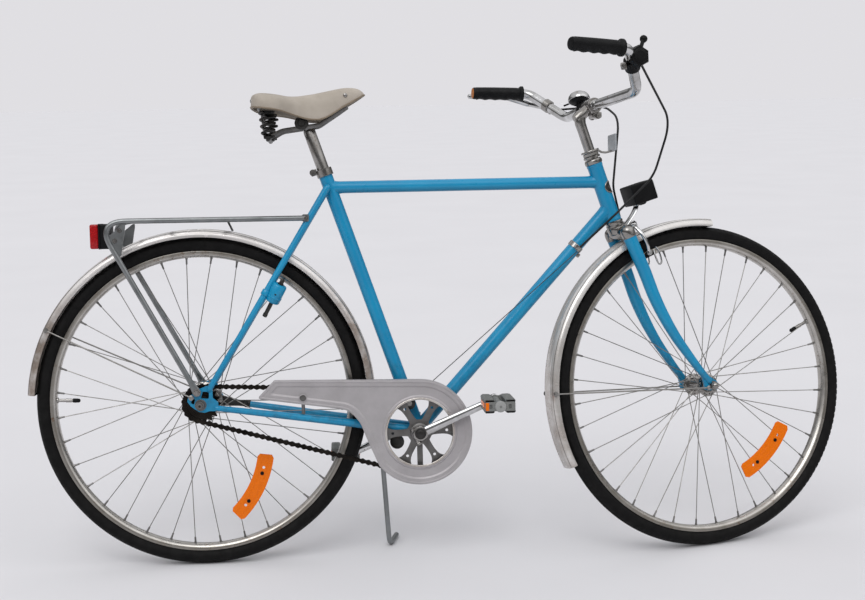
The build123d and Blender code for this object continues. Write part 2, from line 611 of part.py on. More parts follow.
brake_cable = bent(brake_run, 2.4, 25) - bar - lamp
for name in ("brake_lever", "front_brake", "front_reflector_plate"):
    brake_cable = brake_cable - nodes[name]
keep("steering", "brake_cable", Compound(brake_cable.solids()[:1]))

# Gear cable down to the down tube, then the bare wire with its clip and pulley
down_dir = (Vector(*on_axis(DOWN_TUBE_S)) - Vector(*BB)).normalized()
clip_at = tuple(Vector(*on_axis(DOWN_TUBE_S)) - down_dir * 110)
clip_low = tuple(Vector(*clip_at) - down_dir * 5)
clip_high = tuple(Vector(*clip_at) + down_dir * 5)
clip = ring(clip_low, clip_high, DOWN_TUBE_R + 2, DOWN_TUBE_R)
clip = clip + rod(moved_by(clip_at, dy=-15), moved_by(clip_at, dy=-22), 4.0)
GEAR_CLIP = moved_by(clip_at, 7, -18, -1.4)
CABLE_ON_BAR = (right_bar(0.6, 24, 2, 6), on_axis(STEM_TOP - 46.5, 172.7, -110),
                on_axis(HEAD_TOP - 66, 100.2, -46))
CABLE_ON_FRAME = (on_axis(HEAD_LOW + 16.2, 6.1, -35), GEAR_CLIP)
cable_points = [tuple(turn_point(p, STEER_REST)) for p in CABLE_ON_BAR] + list(CABLE_ON_FRAME)
PULLEY_Y = -25.0
PULLEY_R = 13.0
PULLEY_W = 6.0
pulley_at = up_seat(61, PULLEY_Y)
pulley = disc(pulley_at[0], pulley_at[2], PULLEY_Y - PULLEY_W / 2, PULLEY_Y + PULLEY_W / 2, PULLEY_R)
pulley = pulley + disc(pulley_at[0], pulley_at[2], PULLEY_Y, -SEAT_TUBE_R - 0.05, 4.0)
wire_up = rod(moved_by(clip_at, 0, -19, -10), moved_by(pulley_at, dx=6, dz=8), 1.2)
wire_back = rod(moved_by(pulley_at, dx=-7, dz=7), (66, -54, AXLE_Z + 7), 1.2)
gear_cable = bent(cable_points, 2.4, 25) - steered(nodes["shifter"]) - steered(bar) - clip
keep("frame", "gear_cable", Compound(gear_cable.solids()[:1]))
guides = [*clip.solids(), *pulley.solids()]
for part_wire in (wire_up, wire_back):
    guides += (part_wire - pulley - clip).solids()
keep("frame", "gear_wire", Compound(guides))

# Rear brake arm, lock, carrier and lamp
ARM_END = (84.0, AXLE_Z - 14)
arm_bar = tapered((0, AXLE_Z), ARM_END, 17, 7, 45, 49) - disc(0, AXLE_Z, 40, 60, AXLE_R + 0.2)
arm_clip = rod((ARM_END[0], 47, ARM_END[1]), (ARM_END[0] + 4, 57.4, ARM_END[1] - 0.5), 5.0)
keep("frame", "brake_arm", (arm_bar + arm_clip) - stays)
LOCK_SHARE = 0.43
lock_low = on_stay(LOCK_SHARE, 24, 4)
lock_high = on_stay(LOCK_SHARE + 0.085, 21, -7)
lock = rod(lock_low, lock_high, 15.0) + rod(lock_high, on_stay(LOCK_SHARE + 0.115, 20, -9), 5.0)
lock = lock + rod(lock_low, on_stay(LOCK_SHARE - 0.06, 26, 7), 4.0)
keep("frame", "frame_lock", lock - seatstays)

DECK_Z = AXLE_Z + TYRE_R + 37.0
CARRIER_R = 5.5
CARRIER_BACK = -198.0
CARRIER_HALF = 66.0
EYELET = (-6.5, AXLE_Z + 27.5)
deck_front = on_stay(stay_share(DECK_Z - 2), -9, -8)
deck_back = (CARRIER_BACK, -CARRIER_HALF, DECK_Z)
hoop = bent([deck_front, deck_back, (EYELET[0], -CARRIER_HALF - 5, EYELET[1])], CARRIER_R, 32)
hoop = hoop + disc(*EYELET, -DROPOUT_Y - 17, -DROPOUT_Y - DROPOUT_T / 2, 5.0)
carrier = hoop + mirror_y(hoop)


def deck_half(x):
    """Distance of the deck's side tube from the middle."""
    return between(deck_front, deck_back, (deck_front[0] - x) / (deck_front[0] - deck_back[0]))[1]


BAR_LOW = DECK_Z - 1.0
FIRST_BAR = CARRIER_BACK + 60
LAST_BAR = deck_front[0] - 47
MID_BAR = 60.0
for x in (FIRST_BAR, -60.0, MID_BAR, LAST_BAR):
    carrier = carrier + rod((x, deck_half(x), BAR_LOW), (x, -deck_half(x), BAR_LOW), 4.0)
for y in (-18.0, 18.0):
    carrier = carrier + rod((FIRST_BAR, y, BAR_LOW), (LAST_BAR, y, BAR_LOW), 3.0)
carrier = carrier + rod((MID_BAR, 0, BAR_LOW), (MID_BAR, 0, MUD_IN + AXLE_Z + 7), 4.0)
TAIL_X = CARRIER_BACK + 20.0
TAIL_Z = DECK_Z - 32.0
gusset = [(FIRST_BAR, DECK_Z - 1), (TAIL_X + 2, TAIL_Z), (TAIL_X + 22, TAIL_Z - 43)]
for y in (-CARRIER_HALF - 2, CARRIER_HALF - 1):
    carrier = carrier + slab(gusset, y, y + 3)
carrier = carrier + rod((TAIL_X, -CARRIER_HALF, TAIL_Z), (TAIL_X, CARRIER_HALF, TAIL_Z), 4.0)
carrier = carrier - seatstays - rear_guard - rear_axle
for near in (dropout, rear_stay):
    carrier = carrier - near - mirror_y(near)
keep("frame", "carrier", carrier)
LENS_T = 14.0
LENS_BACK = CARRIER_BACK - 21.0
lens = Location((LENS_BACK + LENS_T / 2, 0, TAIL_Z + 1)) * Box(LENS_T, 46, 48)
base_t = TAIL_X - LENS_BACK - LENS_T
lamp_base = Location((LENS_BACK + LENS_T + base_t / 2, 0, TAIL_Z + 1)) * Box(base_t, 52, 54)
keep("frame", "tail_lamp", lamp_base - carrier - rear_guard)
keep("frame", "tail_lens", lens)

# Chainguard: face with a round window, turned-in top and front edge, brackets
GUARD_RING = 110.0
GUARD_WINDOW = 69.0
GUARD_DEPTH = 24.0
guard_back = (BB[0] * 0.336, AXLE_Z + 46)
guard_top = (BB[0], BB[2] + GUARD_RING)
outline = [guard_back, guard_top]
for k in range(1, 21):
    outline.append(flat(at_wheel(BB, 90 - 238 * k / 20, GUARD_RING)))
outline += [(BB[0] - 112, BB[2] - 8), (BB[0] - 124, BB[2] + 24), (BB[0] - 147, BB[2] + 52)]
outline.append((BB[0] * 0.254, AXLE_Z + 8))
face = slab(outline, GUARD_Y, GUARD_Y + GUARD_T) - disc(BB[0], BB[2], -80, -30, GUARD_WINDOW)
lip_x = GUARD_T + 0.2
lip_line = [guard_back, guard_top, (guard_top[0], guard_top[1] - lip_x), (guard_back[0], guard_back[1] - lip_x)]
top_edge = slab(lip_line, GUARD_Y, GUARD_Y + GUARD_DEPTH)
lip_in = GUARD_RING - lip_x
lip_y = GUARD_Y + GUARD_DEPTH
front_edge = turned([(GUARD_RING, GUARD_Y), (GUARD_RING, lip_y), (lip_in, lip_y), (lip_in, GUARD_Y)], BB, -70, 160)
bead_line = [(GUARD_WINDOW, GUARD_Y + 0.2), (GUARD_WINDOW + 1, GUARD_Y - 1)]
bead_line += [(GUARD_WINDOW + 4, GUARD_Y - 1), (GUARD_WINDOW + 5, GUARD_Y + 0.2)]
bead = turned(bead_line, BB)
hook_x = BB[0] - 242
hook_share = (stay_knee[0] - hook_x) / (stay_knee[0] - stay_end[0])
hook_stay = between(stay_knee, stay_end, hook_share)
hook_z = hook_stay[2] + 37
hook = rod((hook_x, GUARD_Y + 0.5, hook_z), (hook_x, -50, hook_z), 4.0)
hook = hook + rod((hook_x, -51, hook_z + 2), hook_stay, 4.0)
STRAP_Y = -37.0
strap_low = BB[2] - GUARD_RING + 2
strap_line = [(BB[0] - 6, BB[2] - 12), (BB[0] + 6, BB[2] - 12), (BB[0] + 6, strap_low), (BB[0] - 6, strap_low)]
strap = slab(strap_line, STRAP_Y - 1.5, STRAP_Y + 1)
strap = strap + rod((BB[0], STRAP_Y + 1, strap_low + 5), (BB[0], GUARD_Y + 0.5, strap_low + 5), 4.0)
strap = strap + rod((BB[0], STRAP_Y, BB[2] - 15), (BB[0], -30, BB[2] - 15), 5.0)
guard = (face + top_edge + front_edge + bead + hook + strap) - stays - shell_block
keep("frame", "chainguard", guard)

# Crank set


def crank_point(angle, radius):
    return flat(at_wheel(BB, angle, radius))


CRANK_OUT = CRANK_IN + CRANK_T
RING_HALF = 1.4
RING_IN = 73.0
SPIDER_R = 26.0
SPIDER_TURN = -21.0
TOOTH_ROOT = 4.4
TOOTH_TIP = 4.2
crank_axle = disc(BB[0], BB[2], -CRANK_OUT - 2, CRANK_OUT + 2, 8.0)
teeth = []
for k in range(RING_TEETH):
    base = 360.0 / RING_TEETH * k + CRANK_ANGLE
    for turn, radius in ((-2.6, -TOOTH_ROOT), (-1.1, TOOTH_TIP), (1.1, TOOTH_TIP), (2.6, -TOOTH_ROOT)):
        teeth.append(crank_point(base + turn, RING_R + radius))
chainring = slab(teeth, CHAIN_Y - RING_HALF, CHAIN_Y + RING_HALF) - disc(BB[0], BB[2], -60, -30, RING_IN)
chainring = chainring + disc(BB[0], BB[2], CHAIN_Y - RING_HALF, CHAIN_Y + RING_HALF, SPIDER_R)
ARM_SHAPE = ((SPIDER_R - 6, 9.0), (46.0, 7.0), (60.0, 9.0), (68.0, 13.0), (RING_IN + 2, 20.0))
for k in range(6):
    a = CRANK_ANGLE + SPIDER_TURN + 60 * k
    left = [crank_point(a + math.degrees(math.atan2(w, r)), math.hypot(r, w)) for r, w in ARM_SHAPE]
    right = [crank_point(a - math.degrees(math.atan2(w, r)), math.hypot(r, w)) for r, w in ARM_SHAPE]
    chainring = chainring + slab(left + right[::-1], CHAIN_Y - RING_HALF, CHAIN_Y + RING_HALF)
for k in range(6):
    chainring = chainring - disc(*crank_point(CRANK_ANGLE + SPIDER_TURN + 60 * k, 57), -60, -30, 3.0)
chainring = chainring + disc(BB[0], BB[2], CHAIN_Y - 9, CHAIN_Y + 4, 20) - disc(BB[0], BB[2], -60, -30, 8.0)
keep("cranks", "chainring", chainring)
keep("cranks", "crank_axle", crank_axle)

PEDAL_IN = 82.0
PEDAL_OUT = 180.0
PEDAL_X = 64.0
PEDAL_HALF = 14.5
TREAD_T = 7.0
SPINDLE_R = 5.0
arms = []
for side, angle, name in ((-1, CRANK_ANGLE, "pedal_right"), (1, CRANK_ANGLE + 180, "pedal_left")):
    cx, cz = crank_point(angle, CRANK_LENGTH)
    crank = tapered(flat(BB), (cx, cz), 10, 7.5, side * CRANK_IN, side * CRANK_OUT)
    crank = crank + disc(cx, cz, side * CRANK_IN, side * CRANK_OUT, 12)
    crank = crank + disc(BB[0], BB[2], side * (CRANK_IN - 7), side * CRANK_OUT, 16)
    crank = crank + disc(cx, cz, side * CRANK_OUT, side * (PEDAL_OUT - 8), SPINDLE_R)
    arms += (crank - crank_axle - chainring).solids()
    middle = side * (PEDAL_IN + PEDAL_OUT) / 2
    body = disc(cx, cz, side * PEDAL_IN, side * PEDAL_OUT, 9.5)
    for lift in (PEDAL_HALF - TREAD_T / 2, TREAD_T / 2 - PEDAL_HALF):
        body = body + Location((cx, middle, cz + lift)) * Box(PEDAL_X, PEDAL_OUT - PEDAL_IN - 8, TREAD_T)
    for y_plate in (PEDAL_IN + 2, PEDAL_OUT - 2):
        body = body + Location((cx, side * y_plate, cz)) * Box(PEDAL_X - 4, 4, 2 * PEDAL_HALF - 3)
    body = body - disc(cx, cz, side * (PEDAL_IN - 1), side * (PEDAL_OUT - 4), SPINDLE_R + RUN_GAP)
    keep(name, name, body)
keep("cranks", "crank_arms", Compound(arms))

# Chain: two wavy side plates round both sprockets
centres = math.hypot(BB[0], BB_DROP)
slope = math.atan2(-BB_DROP, BB[0])
lift = math.asin((RING_R - COG_R) / centres)


def chain_path():
    """Roller centres in order, each with its outward direction and whether it lies on a straight run."""
    top = slope + math.pi / 2 + lift
    low = slope - math.pi / 2 - lift
    runs = int(round(centres * math.cos(lift) / PITCH))
    wrap = int(round((top - low) * RING_R / PITCH))
    back = int(round((2 * math.pi - (top - low)) * COG_R / PITCH))
    ring_top = at_wheel(BB, math.degrees(top), RING_R)
    ring_low = at_wheel(BB, math.degrees(low), RING_R)
    cog_top = at_wheel(REAR_AXLE, math.degrees(top), COG_R)
    cog_low = at_wheel(REAR_AXLE, math.degrees(low), COG_R)
    pts = [(*flat(between(cog_top, ring_top, k / runs)), top, True) for k in range(runs)]
    for k in range(wrap):
        a = top + (low - top) * k / wrap
        pts.append((*flat(at_wheel(BB, math.degrees(a), RING_R)), a, False))
    pts += [(*flat(between(ring_low, cog_low, k / runs)), low, True) for k in range(runs)]
    for k in range(back):
        a = low - (2 * math.pi - (top - low)) * k / back
        pts.append((*flat(at_wheel(REAR_AXLE, math.degrees(a), COG_R)), a, False))
    return pts


LINK_WIDE = 4.8
LINK_NARROW = 3.0
LINK_EVEN = 4.2
links = chain_path()
outer_edge = []
inner_edge = []
for k, (x, z, a, straight) in enumerate(links):
    nx, nz = links[(k + 1) % len(links)][:2]
    samples = [(x, z, LINK_EVEN)]
    if straight:
        samples = [(x, z, LINK_WIDE), ((x + nx) / 2, (z + nz) / 2, LINK_NARROW)]
    for px, pz, half in samples:
        outer_edge.append((px + half * math.cos(a), pz + half * math.sin(a)))
        inner_edge.append((px - half * math.cos(a), pz - half * math.sin(a)))
PLATE_IN = 2.4
PLATE_OUT = 3.8
chain_solids = []
for y0, y1 in ((CHAIN_Y - PLATE_OUT, CHAIN_Y - PLATE_IN), (CHAIN_Y + PLATE_IN, CHAIN_Y + PLATE_OUT)):
    chain_solids += (slab(outer_edge, y0, y1) - slab(inner_edge, y0 - 1, y1 + 1)).solids()
keep("frame", "chain", Compound(chain_solids))

cog_teeth = []
for k in range(COG_TEETH):
    for turn, radius in ((-6.0, -TOOTH_ROOT), (-2.6, TOOTH_TIP), (2.6, TOOTH_TIP), (6.0, -TOOTH_ROOT)):
        cog_teeth.append(flat(at_wheel(REAR_AXLE, 360.0 / COG_TEETH * k + turn, COG_R + radius)))
cog = slab(cog_teeth, CHAIN_Y - RING_HALF, CHAIN_Y + RING_HALF)
cog = cog + disc(0, AXLE_Z, CHAIN_Y - 9, CHAIN_Y + 9, 19)
keep("sprocket", "rear_sprocket", cog - disc(0, AXLE_Z, -70, -20, AXLE_R + RUN_GAP))

# Ground plane under the two tyres in the bicycle's own frame, then the stand reaches down to it
front_centre = turn_point(FRONT_AXLE, STEER_REST)
front_across = (turn_point((WHEELBASE, 1, AXLE_Z), STEER_REST) - front_centre).normalized()


def lowest(centre, across, up):
    lean = across.dot(up)
    return centre.dot(up) - TYRE_R * math.sqrt(1 - lean * lean) - TREAD_HALF * abs(lean)


def up_for(pitch):
    return Vector(math.sin(pitch) * math.cos(LEAN), -math.sin(LEAN), math.cos(pitch) * math.cos(LEAN))


def height_gap(pitch):
    up = up_for(pitch)
    return lowest(front_centre, front_across, up) - lowest(Vector(*REAR_AXLE), Vector(0, 1, 0), up)


low_pitch, high_pitch = -0.1, 0.1
for step in range(60):
    middle_pitch = (low_pitch + high_pitch) / 2
    if (height_gap(low_pitch) > 0) == (height_gap(middle_pitch) > 0):
        low_pitch = middle_pitch
    else:
        high_pitch = middle_pitch
UP = up_for(middle_pitch)
GROUND = lowest(Vector(*REAR_AXLE), Vector(0, 1, 0), UP)


def ground_z(x, y, height):
    """Height in the bicycle's frame of a point so far above the leaned ground."""
    return (GROUND + height - UP.X * x - UP.Y * y) / UP.Z


STAND_PIVOT = moved_by(BB, -80, 44, -26)
STAND_R = 5.5
HEEL = (BB[0] - 66, 50.0)
TOE = (BB[0] - 48, 114.0)
HUB_R = 13.0
MOUNT_END = 37.2
stand_points = [STAND_PIVOT, (*HEEL, ground_z(*HEEL, STAND_R)), (*TOE, ground_z(*TOE, STAND_R))]
leg = bent(stand_points, STAND_R, 20) + disc(STAND_PIVOT[0], STAND_PIVOT[2], MOUNT_END + 0.3, 50.5, HUB_R)
keep("stand", "side_stand", leg)
mount_plate = Location((STAND_PIVOT[0], 0, STAND_PIVOT[2] + 18)) * Box(52, 58, 10)
ear_top = (STAND_PIVOT[0], STAND_PIVOT[2] + 16)
mount_ear = tapered(flat(STAND_PIVOT), ear_top, HUB_R, HUB_R - 0.1, 25, MOUNT_END)
keep("frame", "stand_bracket", (mount_plate + mount_ear) - stays)

# Lean everything onto the stand, then move the origin to the middle of the footprint
forward = Vector(1, 0, 0)
flat_forward = (forward - UP * forward.dot(UP)).normalized()
contact = Vector(*REAR_AXLE) - UP * (Vector(*REAR_AXLE).dot(UP) - GROUND)
place = Plane(origin=contact, x_dir=flat_forward, z_dir=UP).location.inverse()

placed = {}
for name, shape in nodes.items():
    if BODY[name] in ("steering", "front_wheel"):
        shape = steered(shape)
    placed[name] = shape.moved(place)

boxes = [s.bounding_box() for s in placed.values()]
x_mid = (min(b.min.X for b in boxes) + max(b.max.X for b in boxes)) / 2
y_mid = (min(b.min.Y for b in boxes) + max(b.max.Y for b in boxes)) / 2
z_low = min(b.min.Z for b in boxes)
shift = Location((-x_mid, -y_mid, -z_low))
os.makedirs("parts", exist_ok=True)
for name, shape in placed.items():
    export_step(shape.moved(shift), f"parts/{name}.step")
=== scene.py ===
import bpy
import bmesh
import json
from math import asin, atan2, copysign, cos, degrees, exp, hypot, pi, radians, sin, sqrt, tan
from mathutils import Vector, Matrix
from mathutils.geometry import tessellate_polygon


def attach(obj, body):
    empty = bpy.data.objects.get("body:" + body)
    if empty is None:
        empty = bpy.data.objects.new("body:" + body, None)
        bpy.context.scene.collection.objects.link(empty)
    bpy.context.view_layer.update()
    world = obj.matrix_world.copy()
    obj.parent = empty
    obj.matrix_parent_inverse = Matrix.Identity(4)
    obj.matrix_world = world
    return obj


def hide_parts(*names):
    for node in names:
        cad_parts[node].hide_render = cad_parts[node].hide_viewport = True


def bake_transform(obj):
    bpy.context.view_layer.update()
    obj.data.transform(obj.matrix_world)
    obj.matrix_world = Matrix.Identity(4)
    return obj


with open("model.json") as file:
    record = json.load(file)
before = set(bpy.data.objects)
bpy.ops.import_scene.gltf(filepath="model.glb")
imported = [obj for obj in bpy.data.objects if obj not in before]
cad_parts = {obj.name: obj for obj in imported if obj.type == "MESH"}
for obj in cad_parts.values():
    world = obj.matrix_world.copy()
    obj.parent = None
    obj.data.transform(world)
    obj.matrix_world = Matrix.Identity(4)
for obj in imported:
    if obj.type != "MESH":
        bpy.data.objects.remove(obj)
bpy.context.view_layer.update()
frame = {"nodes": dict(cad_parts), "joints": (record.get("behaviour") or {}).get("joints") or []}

# Sizes in millimetres in the bicycle's own upright frame: X forward, Y left, Z up, origin under the rear axle
WHEELBASE = 1072.0
AXLE_Z = 345.0
HEAD_ANGLE = radians(71.7)
FORK_OFFSET = 70.0
STEER_REST = radians(15.5)
BB = Vector((452.0, 0.0, 272.0))
SEAT_ANGLE = radians(71.27)
SEAT_STUB = 41.0
POST_LENGTH = 94.0
CHAIN_Y = -45.0
PITCH = 12.7
RING_TEETH = 44
COG_TEETH = 18
RING_R = PITCH / (2 * sin(pi / RING_TEETH))
COG_R = PITCH / (2 * sin(pi / COG_TEETH))
CRANK_LENGTH = 170.0
CRANK_ANGLE = radians(23.0)
GUARD_Y = -56.0

STEER_UP = Vector((-cos(HEAD_ANGLE), 0.0, sin(HEAD_ANGLE)))
STEER_FWD = Vector((sin(HEAD_ANGLE), 0.0, cos(HEAD_ANGLE)))
FRONT = Vector((WHEELBASE, 0.0, AXLE_Z))
REAR = Vector((0.0, 0.0, AXLE_Z))
STEER_FOOT = FRONT - STEER_FWD * FORK_OFFSET
SIDE = Vector((0.0, 1.0, 0.0))
RIGHT = Vector((0.0, -1.0, 0.0))
UP = Vector((0.0, 0.0, 1.0))
AHEAD = Vector((1.0, 0.0, 0.0))


def columns(x, y, z, at):
    """Matrix with these axes and this origin."""
    m = Matrix((x, y, z)).transposed().to_4x4()
    m.translation = at
    return m


# The frame's joints give the place of the leaning bicycle
JOINT = {j["name"]: j for j in frame["joints"]}
rear_at = Vector(JOINT["rear_wheel_spin"]["pos_m"])
y_axis = Vector(JOINT["rear_wheel_spin"]["axis"]).normalized()
bb_at = Vector(JOINT["crank_spin"]["pos_m"])
e1 = (bb_at - rear_at).normalized()
e2 = y_axis.cross(e1)
reach = hypot(BB.x, BB.z - AXLE_Z)
c1, s1 = BB.x / reach, (BB.z - AXLE_Z) / reach
x_axis = (c1 * e1 + s1 * e2).normalized()
z_axis = (s1 * e1 - c1 * e2).normalized()
origin = rear_at - z_axis * (AXLE_Z / 1000)
BIKE = columns(x_axis, y_axis, z_axis, origin) @ Matrix.Scale(0.001, 4)
TURNED = Matrix.Translation(STEER_FOOT) @ Matrix.Rotation(STEER_REST, 4, STEER_UP) @ Matrix.Translation(-STEER_FOOT)
STEER = BIKE @ TURNED
PLACE = {"steering": STEER, "front_wheel": STEER}


def ax(s, d=0.0, y=0.0):
    """Point s up the steering axis and d ahead of it."""
    return STEER_FOOT + STEER_UP * s + STEER_FWD * d + SIDE * y


def mir(p):
    return Vector((p[0], -p[1], p[2]))


SEAT_UP = Vector((-cos(SEAT_ANGLE), 0.0, sin(SEAT_ANGLE)))
TOP_TUBE_S = 489.8
DOWN_TUBE_S = 432.0
TOP_TUBE_H = (ax(TOP_TUBE_S).z - BB.z) / SEAT_UP.z
SEAT_H = TOP_TUBE_H + SEAT_STUB


def seat(h, y=0.0, fwd=0.0):
    """Point h up the seat tube from the bottom bracket."""
    return BB + SEAT_UP * h + Vector((fwd, y, 0))


POST_TOP = seat(SEAT_H + POST_LENGTH)


def bp(dx, y, dz):
    """Point measured from the top of the seatpost."""
    return Vector((POST_TOP.x + dx, y, POST_TOP.z + dz))


STAY_TOP = seat(TOP_TUBE_H - 1, -20.5, -6)
STAY_LOW = Vector((18.5, -62.0, AXLE_Z + 32))


def on_stay(f, dx=0.0, dy=0.0):
    """Point along the right seatstay, 0 at the dropout and 1 at the top."""
    return STAY_LOW.lerp(STAY_TOP, f) + Vector((dx, dy, 0))


def cad_range(node, place):
    """Extent across the bicycle of a CAD piece."""
    o = frame["nodes"][node]
    ys = [(place.inverted() @ o.matrix_world @ v.co).y for v in o.data.vertices]
    return min(ys), max(ys)


def ground(x, y, height):
    """Bicycle height of a point that lies so far above the floor."""
    return (height / 1000 - (BIKE @ Vector((x, y, 0))).z) / BIKE[2][2]


def polar(angle, radius, y=0.0):
    """Offset at this angle in the side view."""
    return Vector((radius * cos(angle), y, radius * sin(angle)))


def crank_point(angle, radius):
    return Vector((BB.x + radius * cos(angle), 0.0, BB.z + radius * sin(angle)))


def tilted(angle):
    """The bicycle's axes pitched up by an angle in degrees."""
    c, s = cos(radians(angle)), sin(radians(angle))
    return Vector((c, 0, s)), SIDE, Vector((-s, 0, c))


# Mesh tools


class Geo:
    def __init__(self):
        self.v = []
        self.f = []
        self.m = []
        self.mat = 0

    def add(self, verts, faces):
        n = len(self.v)
        self.v.extend(tuple(p) for p in verts)
        self.f.extend(tuple(i + n for i in f) for f in faces)
        self.m.extend([self.mat] * len(faces))

    def mirrored(self):
        """Adds the mirror image across the bicycle's middle plane."""
        n = len(self.v)
        count = len(self.f)
        self.v.extend((x, -y, z) for x, y, z in self.v[:n])
        self.f.extend(tuple(i + n for i in reversed(f)) for f in self.f[:count])
        self.m.extend(self.m[:count])


def basis(axis, ref=None):
    """Axis with two directions across it."""
    t = Vector(axis).normalized()
    if ref is None:
        ref = UP if abs(t.z) < 0.9 else AHEAD
    n = (Vector(ref) - t * Vector(ref).dot(t)).normalized()
    return t, n, t.cross(n)


def grid(rows, cols, loop_rows=False, loop_cols=True):
    """Quads between neighbouring rows of points."""
    quads = []
    for i in range(rows if loop_rows else rows - 1):
        a, b = i * cols, (i + 1) % rows * cols
        for k in range(cols if loop_cols else cols - 1):
            m = (k + 1) % cols
            quads.append((a + k, a + m, b + m, b + k))
    return quads


def sweep(g, pts, r, segs, closed=False, ref=None):
    """Round or oval tube along points; r is a number, a list of numbers or a list of (normal, side) pairs."""
    pts = [Vector(p) for p in pts]
    n = len(pts)
    tang = []
    for i in range(n):
        a = pts[i - 1] if (i > 0 or closed) else pts[i]
        b = pts[(i + 1) % n] if (i < n - 1 or closed) else pts[i]
        tang.append((b - a).normalized())
    nrm = basis(tang[0], ref)[1]
    verts = []
    for i in range(n):
        if i > 0:
            nrm = tang[i - 1].rotation_difference(tang[i]) @ nrm
            nrm = (nrm - tang[i] * nrm.dot(tang[i])).normalized()
        side = tang[i].cross(nrm)
        ri = r[i] if isinstance(r, list) else r
        ra, rb = ri if isinstance(ri, tuple) else (ri, ri)
        for k in range(segs):
            a = 2 * pi * k / segs
            verts.append(pts[i] + nrm * (ra * cos(a)) + side * (rb * sin(a)))
    faces = grid(n, segs, closed)
    if not closed:
        faces += [tuple(reversed(range(segs))), tuple(range((n - 1) * segs, n * segs))]
    g.add(verts, faces)


def lathe(g, profile, at, axis, segs, start=0.0, arc=360.0, ref=None, loop=False, wobble=None):
    """Turns (radius, height) points round an axis."""
    t, n, b = basis(axis, ref)
    at = Vector(at)
    full = abs(arc - 360.0) < 1e-6
    rows = segs if full else segs + 1
    verts = []
    for k in range(rows):
        a = radians(start + arc * k / segs)
        d = n * cos(a) + b * sin(a)
        for i, (r, h) in enumerate(profile):
            if wobble:
                r, h = wobble(k, i, r, h)
            verts.append(at + d * r + t * h)
    p = len(profile)
    faces = [(i, m, k, j) for i, j, k, m in grid(rows, p, full, loop)]
    if loop and not full:
        faces += [tuple(range(p)), tuple(reversed(range((rows - 1) * p, rows * p)))]
    g.add(verts, faces)


def turn_y(g, profile, centre, segs, start=0.0, arc=360.0, loop=False, wobble=None):
    """Turns (radius, y) points round a cross axis, angles counted up from forward."""
    lathe(g, profile, centre, SIDE, segs, -start, -arc, AHEAD, loop, wobble)


def knob(g, at, axis, points, segs):
    """Closed turned piece: (height, radius) points, capped by poles at both ends."""
    prof = [(0.02, points[0][0])] + [(r, h) for h, r in points] + [(0.02, points[-1][0])]
    lathe(g, prof, at, axis, segs)


def band(g, at, axis, bore, rim, out, half, flat, segs):
    """Clamp band with chamfered edges."""
    lathe(g, [(bore, -half), (rim, -half), (out, -flat), (out, flat), (rim, half), (bore, half)], at, axis, segs)


def sided(profile, s):
    """Profile set on the right (-1) or left (1) side."""
    return [(r, s * h) for r, h in profile]


def about(at, table, sx=1, sz=1):
    """Outline (x, z) round a point, mirrored by the signs."""
    return [(at.x + sx * x, at.z + sz * z) for x, z in table]


def both(half):
    """Profile with its mirror image added."""
    return [(r, -y) for r, y in half] + [(r, y) for r, y in reversed(half)]


def hexnut(g, at, axis, r, h):
    """Six-sided nut with chamfered ends."""
    t, n, b = basis(axis)
    at = Vector(at)
    verts = []
    for z, k in ((0.0, 0.9), (h * 0.14, 1.0), (h * 0.86, 1.0), (h, 0.9)):
        for i in range(12):
            a = pi / 6 * i
            rr = r * (k if i % 2 == 0 else min(k, 0.97) * cos(pi / 6))
            verts.append(at + (n * cos(a) + b * sin(a)) * rr + t * z)
    g.add(verts, grid(4, 12) + [tuple(reversed(range(12))), tuple(range(36, 48))])


def bolt(g, at, axis, r, h):
    """Washer, hex head and thread end on one axis."""
    t = Vector(axis).normalized()
    knob(g, at, t, ((0, r * 1.5), (1.0, r * 1.5)), 20)
    hexnut(g, Vector(at) + t, t, r * 1.12, h)
    knob(g, Vector(at) + t * (h + 1), t, ((0, r * 0.55), (1.2, r * 0.5)), 12)


def plate(g, outline, y0, y1, holes=()):
    """Flat piece with holes from (x, z) loops, between y0 and a larger y1."""
    loops = [[Vector((x, 0, z)) for x, z in loop] for loop in [outline, *holes]]
    tris = tessellate_polygon([[Vector((p.x, p.z, 0)) for p in lp] for lp in loops])
    allp = [p for lp in loops for p in lp]
    n = len(allp)
    verts = [(p.x, y0, p.z) for p in allp] + [(p.x, y1, p.z) for p in allp]
    faces = []
    for a, b, c in tris:
        u, w = allp[b] - allp[a], allp[c] - allp[a]
        if u.x * w.z > u.z * w.x:
            b, c = c, b
        faces += [(a, b, c), (a + n, c + n, b + n)]
    base = 0
    for m in map(len, loops):
        faces += [(base + i, base + (i + 1) % m, base + n + (i + 1) % m, base + n + i) for i in range(m)]
        base += m
    g.add(verts, faces)


def fillet(points, radius, steps=8, closed=False):
    """Line run with its corners rounded."""
    pts = [Vector(p) for p in points]
    n = len(pts)
    out = [] if closed else [pts[0]]
    for i in (range(n) if closed else range(1, n - 1)):
        p0, p1, p2 = pts[i - 1], pts[i], pts[(i + 1) % n]
        d1, d2 = p0 - p1, p2 - p1
        l1, l2 = d1.length, d2.length
        ang = max(d1.angle(d2), 0.05)
        rad = radius[i] if isinstance(radius, (list, tuple)) else radius
        t = min(rad / tan(ang / 2), 0.49 * l1, 0.49 * l2)
        a, b = p1 + d1 * (t / l1), p1 + d2 * (t / l2)
        for k in range(steps + 1):
            u = k / steps
            out.append(a * (1 - u) ** 2 + p1 * (2 * u * (1 - u)) + b * u * u)
    if not closed:
        out.append(pts[-1])
    return out


def rounded(points, radius, steps=4):
    """Closed (x, z) outline with its corners rounded."""
    return [(p.x, p.z) for p in fillet([(x, 0, z) for x, z in points], radius, steps, closed=True)]


